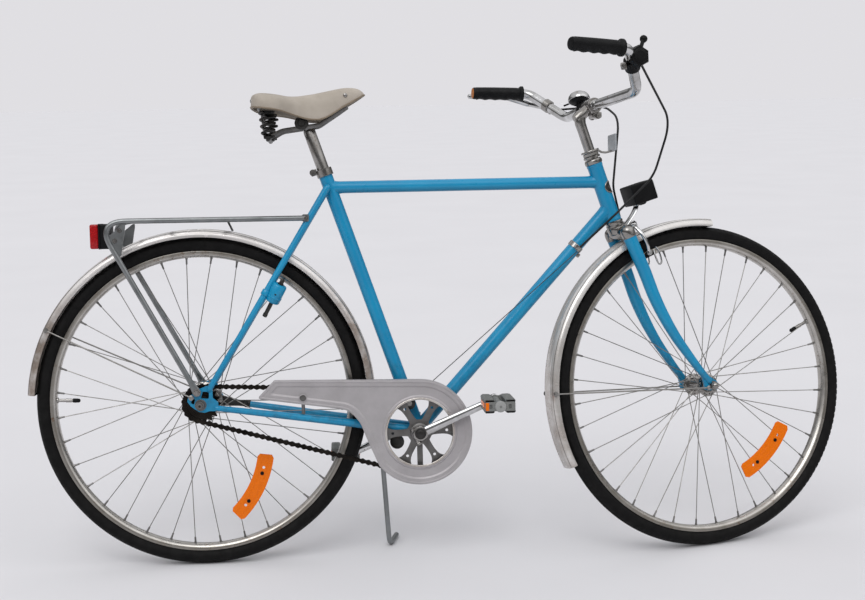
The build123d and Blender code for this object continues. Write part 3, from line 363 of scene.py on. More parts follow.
def arc_of(x, z, r, start, step, count):
    """Points (x, z) along an arc, with its angles in degrees."""
    turns = [radians(start + step * k) for k in range(count)]
    return [(x + r * cos(a), z + r * sin(a)) for a in turns]


def circle(x, z, r, n=20):
    return arc_of(x, z, r, 0.0, 360.0 / n, n)


def loft(g, rows, caps=(True, True)):
    """Skin over closed rows of points."""
    n = len(rows[0])
    faces = grid(len(rows), n)
    if caps[0]:
        faces.append(tuple(reversed(range(n))))
    if caps[1]:
        faces.append(tuple(range((len(rows) - 1) * n, len(rows) * n)))
    g.add([p for row in rows for p in row], faces)


def coped(g, p, q, r, cut_p, cut_q=None):
    """Tube whose ends follow the round of the tubes they meet and swell a little into the joints."""
    segs, flare, reach = 44, 0.10, 13.0
    d, n, b = basis(q - p, SIDE)

    def meet(o, cut, sign):
        at, axis, radius = cut
        axis = axis.normalized()
        w = p + o - at
        w = w - axis * w.dot(axis)
        v = d - axis * d.dot(axis)
        a, h, c = v.dot(v), v.dot(w), w.dot(w) - radius * radius
        return (-h + sign * sqrt(max(h * h - a * c, 0.0))) / a

    steps = (0.0, 0.12, 0.3, 0.55, 1.0)
    lines = []
    for k in range(segs):
        u = 2 * pi * k / segs
        o = n * cos(u) + b * sin(u)
        t0 = meet(o * r, cut_p, 1)
        t1 = meet(o * r, cut_q, -1) if cut_q else (q - p).length
        line = [(t0 + reach * f, r * (1 + flare * (1 - f) ** 2)) for f in steps]
        line += [(t1 - reach * f, r * (1 + (flare * (1 - f) ** 2 if cut_q else 0.0))) for f in reversed(steps)]
        lines.append([p + o * rr + d * t for t, rr in line])
    loft(g, [[line[i] for line in lines] for i in range(2 * len(steps))], (False, cut_q is None))


def through(points, per):
    """Smooth curve through the points."""
    pts = [Vector(p) for p in points]
    out = []
    for i, (p1, p2) in enumerate(zip(pts, pts[1:])):
        p0 = pts[i - 1] if i > 0 else p1 * 2 - p2
        p3 = pts[i + 2] if i + 2 < len(pts) else p2 * 2 - p1
        for k in range(per):
            u = k / per
            square = (2 * p0 - 5 * p1 + 4 * p2 - p3) * u * u
            cube = (3 * p1 - p0 - 3 * p2 + p3) * u ** 3
            out.append(0.5 * (2 * p1 + (p2 - p0) * u + square + cube))
    return out + [pts[-1]]


def smooth_at(table, x):
    """Value of a smooth line through (x, value) pairs."""
    k = 0
    while k < len(table) - 2 and x > table[k + 1][0]:
        k += 1
    (x1, v1), (x2, v2) = table[k], table[k + 1]

    def rise_after(i):
        return (table[i + 1][1] - table[i][1]) / (table[i + 1][0] - table[i][0])

    def slope(i):
        if i in (0, len(table) - 1):
            return rise_after(max(0, i - 1))
        a, b = rise_after(i - 1), rise_after(i)
        return 0.0 if a * b <= 0 else 2 * a * b / (a + b)

    h = x2 - x1
    u = (x - x1) / h
    m1, m2 = slope(k) * h, slope(k + 1) * h
    rise = 3 * u * u - 2 * u ** 3
    return v1 + (v2 - v1) * rise + m1 * (u ** 3 - 2 * u * u + u) + m2 * (u ** 3 - u * u)


def box(g, at, size, r, axes=(AHEAD, SIDE, UP)):
    """Box with chamfered edges, centred on a point."""
    at = Vector(at)
    ux, uy, uz = axes
    bm = bmesh.new()
    bmesh.ops.create_cube(bm, size=1.0)
    for v in bm.verts:
        v.co *= Vector(size)
    bmesh.ops.bevel(bm, geom=bm.edges[:], offset=min(r, 0.49 * min(size)), segments=4, profile=0.5, affect="EDGES")
    bm.verts.ensure_lookup_table()
    bm.verts.index_update()
    verts = [at + ux * v.co.x + uy * v.co.y + uz * v.co.z for v in bm.verts]
    faces = [[v.index for v in f.verts] for f in bm.faces]
    bm.free()
    g.add(verts, faces)


def spring(g, at, r0, widen, pitch, turns, wire, segs, per):
    """Upright coil of wire that widens from its foot."""
    t, n, b = basis(UP)
    pts = []
    for k in range(int(turns * per) + 1):
        a = 2 * pi * k / per
        r = r0 + widen * (k / (turns * per))
        pts.append(at + t * (pitch * k / per) + (n * cos(a) + b * sin(a)) * r)
    sweep(g, pts, wire, segs)


def make(name, g, body, mats, node, bevel=0.0, angle=35.0, ride=True):
    """Mesh object from bicycle coordinates, placed with its body."""
    mesh = bpy.data.meshes.new(name)
    place = PLACE.get(body, BIKE)
    mesh.from_pydata([place @ Vector(p) for p in g.v], [], g.f)
    for m in mats if isinstance(mats, list) else [mats]:
        mesh.materials.append(m)
    mesh.polygons.foreach_set("material_index", g.m)
    bm = bmesh.new()
    bm.from_mesh(mesh)
    bmesh.ops.remove_doubles(bm, verts=bm.verts, dist=2e-6)
    bmesh.ops.recalc_face_normals(bm, faces=bm.faces)
    limit = radians(angle)
    for f in bm.faces:
        f.smooth = True
    for e in bm.edges:
        if len(e.link_faces) > 2 or (len(e.link_faces) == 2 and e.calc_face_angle(0.0) > limit):
            e.smooth = False
    bm.to_mesh(mesh)
    bm.free()
    obj = bpy.data.objects.new(name, mesh)
    bpy.context.scene.collection.objects.link(obj)
    if bevel:
        mod = obj.modifiers.new("edges", "BEVEL")
        mod.width = bevel / 1000
        mod.segments = 2
        mod.limit_method = "ANGLE"
        mod.angle_limit = radians(40)
        mod.use_clamp_overlap = True
    if ride:
        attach(obj, body)
    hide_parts(node)
    return obj


# Materials


class Nodes:
    """Material built from procedural nodes."""

    def __init__(self, name):
        self.material = bpy.data.materials.new(name)
        self.material.use_nodes = True
        self.tree = self.material.node_tree
        self.shader = self.tree.nodes["Principled BSDF"]
        self.coord = self.tree.nodes.new("ShaderNodeTexCoord").outputs["Object"]

    def link(self, a, b):
        self.tree.links.new(a, b)

    def fill(self, node, values):
        """Sets a node's inputs to values or links them to other nodes."""
        for key, value in values.items():
            socket = node.inputs[key.replace("_", " ")]
            if isinstance(value, (int, float, tuple)):
                socket.default_value = value
            else:
                self.link(value, socket)

    def node(self, kind, **values):
        n = self.tree.nodes.new("ShaderNode" + kind)
        self.fill(n, values)
        return n

    def set(self, **values):
        self.fill(self.shader, values)

    def noise(self, scale, detail=4.0, rough=0.55, at=None):
        t = self.node("TexNoise", Scale=scale, Detail=detail, Roughness=rough, Vector=at or self.coord)
        return t.outputs["Fac"]

    def cells(self, scale):
        return self.node("TexVoronoi", Scale=scale, Vector=self.coord).outputs["Distance"]

    def span(self, fac, low, high, to_low=0.0, to_high=1.0):
        m = self.node("MapRange", Value=fac, From_Min=low, From_Max=high, To_Min=to_low, To_Max=to_high)
        return m.outputs["Result"]

    def mix(self, fac, a, b):
        m = self.tree.nodes.new("ShaderNodeMix")
        m.data_type = "RGBA"
        ends = [s for s in m.inputs if s.type == "RGBA"]
        self.link(fac, m.inputs[0])
        for s, v in zip(ends, (a, b)):
            if isinstance(v, tuple):
                s.default_value = (*v, 1.0)
            else:
                self.link(v, s)
        return [s for s in m.outputs if s.type == "RGBA"][0]

    def times(self, a, b):
        m = self.tree.nodes.new("ShaderNodeMath")
        m.operation = "MULTIPLY"
        self.link(a, m.inputs[0])
        if isinstance(b, float):
            m.inputs[1].default_value = b
        else:
            self.link(b, m.inputs[1])
        return m.outputs[0]

    def upward(self, source):
        return self.node("SeparateXYZ", Vector=source).outputs["Z"]

    def height(self):
        return self.upward(self.coord)

    def facing_up(self):
        return self.upward(self.node("NewGeometry").outputs["Normal"])

    def bump(self, height, strength, distance):
        b = self.node("Bump", Strength=strength, Distance=distance, Height=height)
        self.set(Normal=b.outputs["Normal"])

    def finish(self, color, low, high, scale, detail, rough=0.55):
        """Colour, and a roughness that wanders between two levels."""
        self.set(Base_Color=color, Roughness=self.span(self.noise(scale, detail, rough), 0.3, 0.7, low, high))


def paint(name, base, dark, chip):
    n = Nodes(name)
    tone = n.mix(n.span(n.noise(9, 3), 0.35, 0.65), base, dark)
    low = n.span(n.height(), 0.20, 0.55, 1.0, 0.0)
    grime = n.times(n.span(n.noise(55, 6, 0.7), 0.45, 0.8), low)
    tone = n.mix(grime, tone, (0.025, 0.05, 0.06))
    # Painted shade: surfaces that face down are darkened towards a deep blue, standing in for the shade under the
    # tubes.
    painted_under_shade = n.span(n.facing_up(), -0.95, -0.1, 0.62, 0.0)
    tone = n.mix(painted_under_shade, tone, tuple(c * 0.45 for c in dark))
    chips = n.span(n.noise(260, 5, 0.62), 0.70, 0.715)
    patch = n.span(n.noise(14, 2), 0.52, 0.60)
    n.finish(n.mix(n.times(chips, patch), tone, chip), 0.24, 0.40, 38, 5, 0.6)
    n.set(Coat_Weight=0.25, Coat_Roughness=0.10, Specular_IOR_Level=0.35)
    n.bump(n.noise(700, 2), 0.04, 0.0006)
    return n.material


def metal(name, base, dull, rust, rust_low=0.62, rough=(0.12, 0.3), grain=None, low_brown=0.0, solid=1.0,
          low=(0.28, 0.62)):
    n = Nodes(name)
    tone = n.mix(n.span(n.noise(24, 5, 0.6), 0.35, 0.7), base, dull)
    if low_brown:
        fall = n.span(n.height(), low[0], low[1], low_brown, 0.0)
        tone = n.mix(n.times(fall, n.span(n.noise(30, 5, 0.65), 0.25, 0.6)), tone, (0.21, 0.145, 0.10))
    spots = n.span(n.noise(130, 6, 0.7), rust_low, rust_low + 0.07)
    patch = n.span(n.noise(11, 3), 0.45, 0.62)
    mark = n.times(spots, patch)
    n.finish(n.mix(mark, tone, rust), *rough, 60, 6, 0.65)
    n.set(Metallic=n.span(mark, 0.0, 1.0, solid, 0.35 * solid))
    if grain:
        brushed = n.node("Mapping", Scale=grain, Vector=n.coord).outputs["Vector"]
        n.bump(n.noise(1.0, 3, 0.6, brushed), 0.06, 0.0003)
    else:
        n.bump(n.noise(240, 4, 0.6), 0.02, 0.0004)
    return n.material


def plastic(name, base, pale, rough=(0.35, 0.55), grain=900.0, strength=0.12, shine=0.3, dust=0.5):
    n = Nodes(name)
    n.finish(n.mix(n.times(n.span(n.noise(45, 6, 0.65), 0.45, 0.8), dust), base, pale), *rough, 80, 5, 0.6)
    n.set(Specular_IOR_Level=shine)
    n.bump(n.noise(grain, 3, 0.6), strength, 0.0005)
    return n.material


def lens(name, base, deep, cell, coat=0.35, relief=0.25):
    n = Nodes(name)
    prisms = n.cells(cell)
    n.finish(n.mix(n.span(prisms, 0.1, 0.6), base, deep), 0.16, 0.30, 60, 4)
    n.set(Coat_Weight=coat, Coat_Roughness=0.06, Specular_IOR_Level=0.2)
    n.bump(prisms, relief, 0.0012)
    return n.material


BLUE = paint("blue_paint", (0.006, 0.285, 0.515), (0.005, 0.24, 0.455), (0.10, 0.11, 0.12))
CHROME = metal("chrome", (0.68, 0.68, 0.685), (0.38, 0.375, 0.365), (0.15, 0.08, 0.045), 0.60, (0.06, 0.20))
DULL_CHROME = metal("dull_chrome", (0.37, 0.357, 0.345), (0.24, 0.228, 0.212), (0.12, 0.07, 0.04), 0.60, (0.12, 0.30))
STAINLESS = metal("stainless", (0.76, 0.74, 0.72), (0.64, 0.62, 0.595), (0.24, 0.17, 0.12), 0.66, (0.16, 0.30),
                  (60, 900, 60), 0.5, 0.50)
REAR_STAINLESS = metal("rear_stainless", (0.82, 0.79, 0.77), (0.70, 0.67, 0.65), (0.24, 0.17, 0.12), 0.66, (0.16, 0.30),
                       (60, 900, 60), 0.80, 0.45, (0.50, 0.60))
RIM_STEEL = metal("rim_steel", (0.36, 0.34, 0.31), (0.25, 0.23, 0.20), (0.16, 0.10, 0.065), 0.56, (0.24, 0.42))
RIM_BAND = metal("rim_band", (0.56, 0.54, 0.51), (0.42, 0.40, 0.37), (0.20, 0.13, 0.09), 0.58, (0.22, 0.38))
SPOKE_STEEL = metal("spoke_steel", (0.36, 0.35, 0.34), (0.24, 0.23, 0.21), (0.14, 0.09, 0.06), 0.60, (0.3, 0.5))
ALU = metal("matt_aluminium", (0.43, 0.41, 0.42), (0.37, 0.352, 0.36), (0.25, 0.22, 0.20), 0.66, (0.38, 0.52),
            (300, 300, 40), 0.0, 0.25)
GREY_STEEL = metal("grey_steel", (0.22, 0.215, 0.21), (0.14, 0.135, 0.13), (0.10, 0.07, 0.05), 0.60, (0.36, 0.55))
CARRIER_MAT = metal("carrier_tube", (0.285, 0.295, 0.30), (0.19, 0.20, 0.20), (0.13, 0.10, 0.08), 0.60, (0.28, 0.44))
DARK_STEEL = metal("dark_steel", (0.075, 0.073, 0.07), (0.03, 0.03, 0.03), (0.09, 0.055, 0.035), 0.60, (0.32, 0.55))
GREASE = metal("greasy_steel", (0.030, 0.026, 0.023), (0.010, 0.009, 0.008), (0.05, 0.035, 0.025), 0.60, (0.30, 0.55))
RUBBER = plastic("tyre_rubber", (0.004, 0.0038, 0.0038), (0.017, 0.0155, 0.015), (0.55, 0.8), 500, 0.2, 0.16, 0.4)
BLACK = plastic("black_plastic", (0.0035, 0.0035, 0.004), (0.012, 0.012, 0.0125), (0.36, 0.52), 900, 0.12, 0.16)
GRIP = plastic("grip_rubber", (0.0035, 0.0037, 0.0042), (0.013, 0.013, 0.0135), (0.42, 0.6), 700, 0.15, 0.18)
CABLE = plastic("cable_sleeve", (0.006, 0.006, 0.0065), (0.02, 0.02, 0.02), (0.34, 0.5), 700, 0.06, 0.3)
PEDAL_GREY = plastic("pedal_plastic", (0.175, 0.18, 0.175), (0.28, 0.28, 0.27), (0.42, 0.62), 600, 0.2, 0.3)
PEDAL_CAP = plastic("pedal_cap", (0.30, 0.305, 0.30), (0.42, 0.42, 0.41), (0.34, 0.5), 600, 0.2, 0.4)
CLEAR_GREY = plastic("reflector_plate", (0.40, 0.42, 0.44), (0.30, 0.32, 0.34), (0.18, 0.3), 500, 0.1, 0.5)
ORANGE = lens("orange_lens", (0.92, 0.195, 0.001), (0.80, 0.16, 0.001), 420, 0.06, 0.08)
RED = lens("red_lens", (0.55, 0.010, 0.014), (0.34, 0.004, 0.006), 330)
GLASS = lens("lamp_glass", (0.80, 0.81, 0.80), (0.58, 0.60, 0.61), 160, 0.8)
ORANGE_PLUG = plastic("orange_plug", (0.50, 0.17, 0.035), (0.40, 0.15, 0.05), (0.4, 0.55), 600, 0.1)
PIPING = plastic("saddle_piping", (0.20, 0.155, 0.11), (0.32, 0.26, 0.20), (0.4, 0.55), 700, 0.12)


def leather():
    n = Nodes("cream_vinyl")
    tone = n.mix(n.span(n.noise(14, 4, 0.6), 0.35, 0.68), (0.48, 0.43, 0.37), (0.385, 0.34, 0.285))
    stain = n.span(n.noise(42, 6, 0.7), 0.60, 0.74)
    tone = n.mix(n.times(stain, 0.5), tone, (0.34, 0.27, 0.20))
    # Painted shade: the skin's sides and underside are darkened towards brown as they turn away from the top.
    painted_under_shade = n.span(n.facing_up(), -0.8, 0.15, 0.6, 0.0)
    n.finish(n.mix(painted_under_shade, tone, (0.26, 0.22, 0.17)), 0.40, 0.56, 70, 5)
    n.set(Specular_IOR_Level=0.35)
    n.bump(n.cells(900), 0.18, 0.0006)
    return n.material


CREAM = leather()

# Wheels
SPOKES = 36
NIPPLE_R = 304.5
REFLECTOR_R, REFLECTOR_LENGTH, REFLECTOR_HALF = 213.0, 146.0, 17.0


def wheel(name, body, centre, valve, phase, flange_r, flange_y, mid, tilt, hub_profile):
    g = Geo()
    # Tyre: round casing, with ribs round the crown and blocks along its shoulders
    half = [(316.5, 10.5), (318.5, 13.0), (321.0, 15.2), (324.5, 16.9), (328.0, 17.7), (331.0, 17.9), (333.2, 17.4),
            (334.0, 17.6), (336.2, 16.6), (338.4, 14.9), (340.2, 12.9), (340.9, 12.2), (341.9, 10.4), (343.2, 7.6),
            (342.2, 7.2), (342.3, 6.5), (343.6, 6.1), (344.5, 3.6), (344.7, 2.3), (343.5, 1.9), (343.5, 1.2),
            (344.9, 0.8)]
    profile = both(half)
    count = len(profile)

    def tread(k, i, r, h):
        j = i if i < count // 2 else count - 1 - i
        if 8 <= j <= 12 and (k + (0 if h < 0 else 2)) % 4 == 0:
            return r - 1.3, h
        return r, h

    turn_y(g, profile, centre, 640, wobble=tread)
    make(name + "_tyre_tread", g, body, RUBBER, name + "_tyre", angle=50)

    # Rim: lighter bed, darker side walls, then the valve with its nut and cap
    g = Geo()
    bed = [(303.0, 0.0), (303.0, 5.0), (304.0, 7.2), (306.6, 10.0), (309.0, 11.8)]
    wall = [(309.0, 11.8), (311.0, 12.6), (314.4, 12.7), (316.2, 12.2), (316.9, 11.2), (316.4, 10.2), (314.0, 9.8)]
    turn_y(g, [(r, -y) for r, y in reversed(bed)] + bed[1:], centre, 240)
    g.mat = 1
    for s in (-1, 1):
        turn_y(g, sided(wall, s), centre, 240)
    out = polar(radians(valve), 1.0)
    g.mat = 2
    knob(g, centre + out * 303.5, -out, ((0, 6.0), (2.0, 6.0), (3.0, 5.2), (3.2, 3.4), (18, 3.4), (18.2, 4.0),
                                          (19, 4.2), (29, 4.0), (33, 3.4), (34, 2.0)), 18)
    g.mat = 3
    knob(g, centre + out * 271, -out, ((0, 4.3), (2, 4.6), (9, 4.5), (13, 4.0), (15, 2.4)), 18)
    make(name + "_rim_steel", g, body, [RIM_BAND, RIM_STEEL, DULL_CHROME, BLACK], name + "_rim")

    # Spokes bent at the hub, with a head on one end and a nipple on the other
    g = Geo()
    for j in range(SPOKES):
        side = -1 if j % 2 == 0 else 1
        crossing = 1 if (j // 2) % 2 == 0 else -1
        rim_a = radians(360.0 / SPOKES * j + phase)
        hub_a = rim_a + crossing * radians(60)
        at_hub, at_rim = side * (flange_y + crossing * 2.4), side * (3.0 + crossing * 0.6)
        p = centre + polar(hub_a, flange_r, at_hub)
        q = centre + polar(rim_a, NIPPLE_R, at_rim)
        d = (q - p).normalized()
        g.mat = 0
        inner = Vector((p.x, side * flange_y - side * crossing * 2.6, p.z))
        sweep(g, fillet([inner, p, p + d * 12, q], 2.2, 3), 0.95, 8)
        knob(g, inner, Vector((0, -side * crossing, 0)), ((0, 2.1), (0.8, 2.1), (1.4, 1.0)), 8)
        g.mat = 1
        knob(g, q - d * 15, d, ((0, 1.5), (0.6, 1.9), (9, 2.0), (12, 2.6), (15, 2.8)), 8)
    make(name + "_spoke_set", g, body, [SPOKE_STEEL, GREY_STEEL], name + "_spokes")

    g = Geo()
    turn_y(g, hub_profile, centre, 56)
    make(name + "_hub_shell", g, body, DULL_CHROME, name + "_hub", angle=30)

    # Spoke reflector: curved plate with two clip holes and two screws, turned about its own middle
    g = Geo()
    y0, y1 = cad_range(name + "_reflector", PLACE.get(body, BIKE))
    spread = degrees(REFLECTOR_LENGTH / REFLECTOR_R)
    pivot = centre + polar(radians(mid), 1.0) * REFLECTOR_R
    t = radians(tilt)

    def strip_at(radius, off):
        d = centre + polar(radians(mid + off), 1.0) * radius - pivot
        return (pivot.x + d.x * cos(t) - d.z * sin(t), pivot.z + d.x * sin(t) + d.z * cos(t))

    line = []
    for sign in (1, -1):
        for k in range(25):
            u = sign * (k / 24 - 0.5)
            inset = max(0.0, abs(u) * 2 - 0.93) / 0.07
            line.append(strip_at(REFLECTOR_R + sign * (REFLECTOR_HALF - 4.5 * inset ** 2), spread * u))
    holes = [circle(*strip_at(REFLECTOR_R, off), 3.0, 16) for off in (-12.0, 12.0)]
    plate(g, line, y0, y1, holes)
    for off_line in (6.5, -6.5):
        rib = [strip_at(REFLECTOR_R + off_line, spread * (k / 20 - 0.5) * 0.94) for k in range(21)]
        sweep(g, [(x, y0, z) for x, z in rib], [(0.35, 1.0)] * 21, 8, ref=SIDE)
    g.mat = 1
    for off in (-9.0, 8.6):
        x, z = strip_at(REFLECTOR_R, off)
        knob(g, (x, y0 + 0.2, z), RIGHT, ((0, 3.9), (1.4, 3.9), (2.0, 2.8), (2.1, 1.2), (1.2, 1.0)), 16)
    make(name + "_spoke_reflector", g, body, [ORANGE, BLACK], name + "_reflector", bevel=0.6)


REAR_HUB = [(5.1, -33.0), (19.0, -33.0), (20.0, -32.4), (20.0, -31.2), (36.0, -30.8), (37.0, -30.2), (37.0, -28.0),
            (36.0, -27.2), (28.0, -25.5), (26.4, -22.0), (25.6, -12), (25.2, 0), (25.6, 12), (26.4, 22.0), (28.0, 25.5),
            (36.0, 27.2), (37.0, 28.0), (37.0, 30.2), (36.0, 30.8), (25.0, 31.2), (24.0, 32.5), (22.6, 38.0),
            (21.6, 39.6), (14, 40.0), (5.1, 40.0)]
HALF_HUB = [(12.4, 12.0), (13.6, 23.0), (15.5, 26.5), (23.0, 28.4), (24.0, 29.0), (24.0, 31.0), (23.0, 31.5),
            (14.0, 31.8), (13.6, 33.0), (12.2, 36.0), (11.0, 37.4), (9.0, 38.0), (4.6, 38.0)]
FRONT_HUB = [(r, -y) for r, y in reversed(HALF_HUB)] + [(12.2, 0)] + HALF_HUB
wheel("rear", "rear_wheel", REAR, 178.0, 5.0, 33.0, 29.0, -60.0, 33.0, REAR_HUB)
wheel("front", "front_wheel", FRONT, 25.0, 5.0, 20.0, 30.0, -46.0, 0.0, FRONT_HUB)

# Frame tubes, each end following the tube that it meets
HEAD_CUT = (STEER_FOOT, STEER_UP, 15.6)
SEAT_CUT = (BB, SEAT_UP, 13.4)
SHELL_CUT = (BB, SIDE, 18.8)
DOWN_TOP = ax(DOWN_TUBE_S)
DOWN = (DOWN_TOP - BB).normalized()

g = Geo()
head = [(13.7, 402), (16.9, 402), (17.3, 402.6), (17.3, 406), (16.7, 408), (16.5, 411)]
head += [(r, 932 - h) for r, h in reversed(head)]
lathe(g, head, STEER_FOOT, STEER_UP, 48)
g.mat = 1


def badge(u, v, lift):
    """Point on the head tube's front, u round it and v along it."""
    a = radians(50 * u - 30)
    return ax(474 + 12.5 * v, (16.5 + lift) * cos(a), (16.5 + lift) * sin(a))


ring = arc_of(0, 0, 1.0, 0, 10, 36)
loft(g, [[badge(u * f, v * f, 0.4 + 0.5 * (1 - f)) for u, v in ring] for f in (0.98, 0.7, 0.42)], (False, False))
g.mat = 2
sweep(g, [badge(u, v, 0.5) for u, v in ring], 1.2, 10, closed=True)
loft(g, [[badge(u * f, v * f, 0.4 + 0.5 * (1 - f)) for u, v in ring] for f in (0.42, 0.25, 0.08)], (False, True))
make("head_tube_paint", g, "frame", [BLUE, DARK_STEEL, DULL_CHROME], "head_tube")

TUBES = (("top_tube", seat(TOP_TUBE_H), ax(TOP_TUBE_S), 12.7, (SEAT_CUT, HEAD_CUT)),
         ("down_tube", BB, DOWN_TOP, 14.3, (SHELL_CUT, HEAD_CUT)), ("seat_tube", BB, seat(SEAT_H), 14.3, (SHELL_CUT,)))
for tube, low_end, high_end, r, cuts in TUBES:
    g = Geo()
    coped(g, low_end, high_end, r, *cuts)
    make(tube + "_paint", g, "frame", BLUE, tube)

g = Geo()
turn_y(g, [(17.2, -34), (19.4, -34), (20.0, -33.4), (20.0, 33.4), (19.4, 34), (17.2, 34)], BB, 48)
g.mat = 1
for side in (-1, 1):
    cup = [(8.2, 33.0), (17.4, 33.0), (17.4, 35.0), (15.5, 35.6), (14.5, 38.2), (10.0, 38.6), (8.2, 38.6)]
    turn_y(g, sided(cup, side), BB, 40)
make("bottom_bracket_shell", g, "frame", [BLUE, DULL_CHROME], "bottom_bracket")

# Stays with their flat ends
DROPOUT = [(-27, 8), (-25, 18), (-14, 24), (-12, 33), (0, 34), (12, 39), (25, 39), (25, 14), (36, 5), (36, -13),
           (18, -13), (8, -16), (-4, -14), (-20, -2)]
DROP_WINDOW = [(1, 14), (17, 12.5), (18, 27), (5, 28)]
DROP_SLOT = [(-20, 5), (-15, 14), (-10.5, 11.5), (-14, 1)]
g = Geo()
drop_holes = [circle(0, AXLE_Z, 5.2), rounded(about(REAR, DROP_WINDOW), 2.5), rounded(about(REAR, DROP_SLOT), 2)]
plate(g, rounded(about(REAR, DROPOUT), 5), -64.5, -59.5, drop_holes)
STAY_END = (34, -62, 337)
stay = through([(434.5, -25.6, 275), (400, -28, 280), (340, -32, 289), (250, -40.8, 303.1), (150, -50.6, 318.8),
                STAY_END], 6)
sweep(g, stay, [9.0 - 3.0 * max(0.0, (340 - p.x) / 306) for p in stay], 28)
knob(g, STAY_END, (-1, -0.1, 0.15), ((0, 6.0), (4, 5.0), (7, 3.2), (8, 1.5)), 24)
g.mirrored()
sweep(g, [(361.8, -30, 285.7), (361.8, 30, 285.7)], 6.5, 24)
make("chainstays_paint", g, "frame", BLUE, "chainstays", bevel=0.7)

g = Geo()
run = [on_stay(k / 12) for k in range(13)]
sweep(g, run, [6.0 + 1.5 * k / 12 for k in range(13)], 28)
way = (STAY_TOP - STAY_LOW).normalized()
knob(g, STAY_LOW, -way, ((0, 6.0), (3, 5.2), (6, 3.2), (7, 1.2)), 22)
knob(g, STAY_TOP, way, ((0, 7.5), (2.5, 7.0), (5, 5.2), (6.6, 2.6), (7.2, 0.8)), 26)
g.mirrored()
bridge = (668 - STAY_LOW.z) / (STAY_TOP.z - STAY_LOW.z)
sweep(g, [on_stay(bridge), mir(on_stay(bridge))], 5.0, 20)
make("seatstays_paint", g, "frame", BLUE, "seatstays")

# Headset
g = Geo()
lathe(g, [(12.7, 389), (18.6, 389), (19.5, 389.8), (19.5, 393.5), (18.4, 394.6), (18.6, 396), (19.2, 399),
          (18.6, 401.6), (17.0, 402), (12.7, 402)], STEER_FOOT, STEER_UP, 48)
lathe(g, [(12.7, 530), (17.0, 530), (18.4, 530.6), (19.0, 533), (19.0, 537), (18.0, 538), (17.6, 540), (16.4, 541),
          (12.7, 541)], STEER_FOOT, STEER_UP, 48)
make("headset_cup_rings", g, "frame", DULL_CHROME, "headset_cups")

# Seatpost and collar
g = Geo()
sweep(g, [seat(SEAT_H - 2), seat(SEAT_H + 84), seat(SEAT_H + 87)], [12.7, 12.7, 11.4], 36)
sweep(g, [seat(SEAT_H + 86), seat(SEAT_H + 93)], [11.0, 11.0], 32)
make("seatpost_chrome", g, "frame", DULL_CHROME, "seatpost")

g = Geo()
lathe(g, [(14.4, -16), (16.8, -16), (17.4, -15.2), (17.4, -1.0), (16.8, -0.2), (12.8, 0.4), (12.8, -1.0)],
      seat(SEAT_H), SEAT_UP, 44)
back = SEAT_UP.cross(SIDE) * -1
for y in (-5.0, 5.0):
    box(g, seat(SEAT_H - 8, y, -22), (14, 4.0, 13), 1.2, (back, SIDE, SEAT_UP))
bolt(g, seat(SEAT_H - 8, -7.0, -24), RIGHT, 4.6, 4.0)
knob(g, seat(SEAT_H - 8, 7.0, -24), SIDE, ((0, 6.0), (3.0, 6.0), (4.5, 4.0)), 20)
sweep(g, [seat(SEAT_H - 8, -8, -24), seat(SEAT_H - 8, 8, -24)], 3.2, 14)
make("seat_collar_clamp", g, "frame", DULL_CHROME, "seat_collar")

# Saddle: skin in rows across, with an inner face, piping round its lower edge and rivets
WIDTH = ((118.0, 14.0), (119.3, 34.0), (122.0, 53.0), (128.0, 74.0), (138.0, 89.0), (150.0, 96.0), (166.0, 96.0),
         (180.0, 88.0), (194.0, 72.0), (210.0, 56.0), (228.0, 46.0), (247.8, 40.5), (275.0, 34.0), (305.0, 28.0),
         (330.0, 22.0), (343.0, 16.5), (349.5, 11.0), (353.0, 5.0), (354.0, 1.2))
TOP = ((118.0, 971.0), (120.0, 977.0), (126.0, 981.0), (140.0, 983.6), (160.0, 982.6), (180.0, 980.4),
       (197.0, 978.6), (212.0, 978.8), (230.0, 980.4), (248.0, 983.0), (284.0, 990.0), (305.0, 993.8), (318.0, 995.0),
       (332.0, 994.2), (342.0, 991.5), (350.0, 986.0), (354.0, 981.0))
SKIRT = ((118.0, 955.0), (127.0, 952.0), (148.0, 948.6), (180.0, 943.6), (212.0, 934.4), (240.0, 927.6),
         (256.0, 926.8), (270.0, 930.4), (284.0, 937.2), (300.0, 947.6), (318.0, 958.4), (342.0, 972.0), (354.0, 979.0))
SQUARE = ((118.0, 4.6), (150.0, 3.6), (200.0, 2.7), (260.0, 2.5), (354.0, 2.4))
ACROSS = 44
saddle = Geo()
stations = [118.0, 118.6, 119.4, 120.8, 122.6, 125, 128.5, 133, 138.5] + [144 + 6.4 * k for k in range(30)]
stations += [335, 340, 343.5, 347, 349.8, 352, 353.3, 354]
rows = []
for x in stations:
    w, zt, zb, p = smooth_at(WIDTH, x), smooth_at(TOP, x), smooth_at(SKIRT, x), smooth_at(SQUARE, x)
    row = []
    for k in range(ACROSS + 1):
        a = pi * k / ACROSS
        cs, sn = cos(a), sin(a)
        y = w * copysign(abs(cs) ** (2 / p), cs)
        dip = 3.0 * exp(-(y / 26.0) ** 2) * max(0.0, min(1.0, (230 - x) / 60)) if x > 124 else 0.0
        row.append(Vector((x, y, zb + (zt - zb) * abs(sn) ** (2 / p) - dip)))
    rows.append(row)
verts = [v for row in rows for v in row]
W = ACROSS + 1
faces = grid(len(rows), W, loop_cols=False)
saddle.add(verts, faces)
inner = [(236 + (v.x - 236) * 0.978, v.y * 0.94, v.z - 3.4 if v.z > 955 else v.z + 0.8) for v in verts]
n0 = len(verts)
saddle.add(inner, [tuple(reversed(f)) for f in faces])
last = len(rows) - 1
edge = [i * W for i in range(len(rows))] + [last * W + k for k in range(1, W)]
edge += [i * W + ACROSS for i in reversed(range(last))] + list(range(ACROSS - 1, 0, -1))
closing = list(zip(edge, edge[1:] + edge[:1]))
saddle.f.extend((a, b, n0 + b, n0 + a) for a, b in closing)
saddle.m.extend([0] * len(closing))
saddle.mat = 2
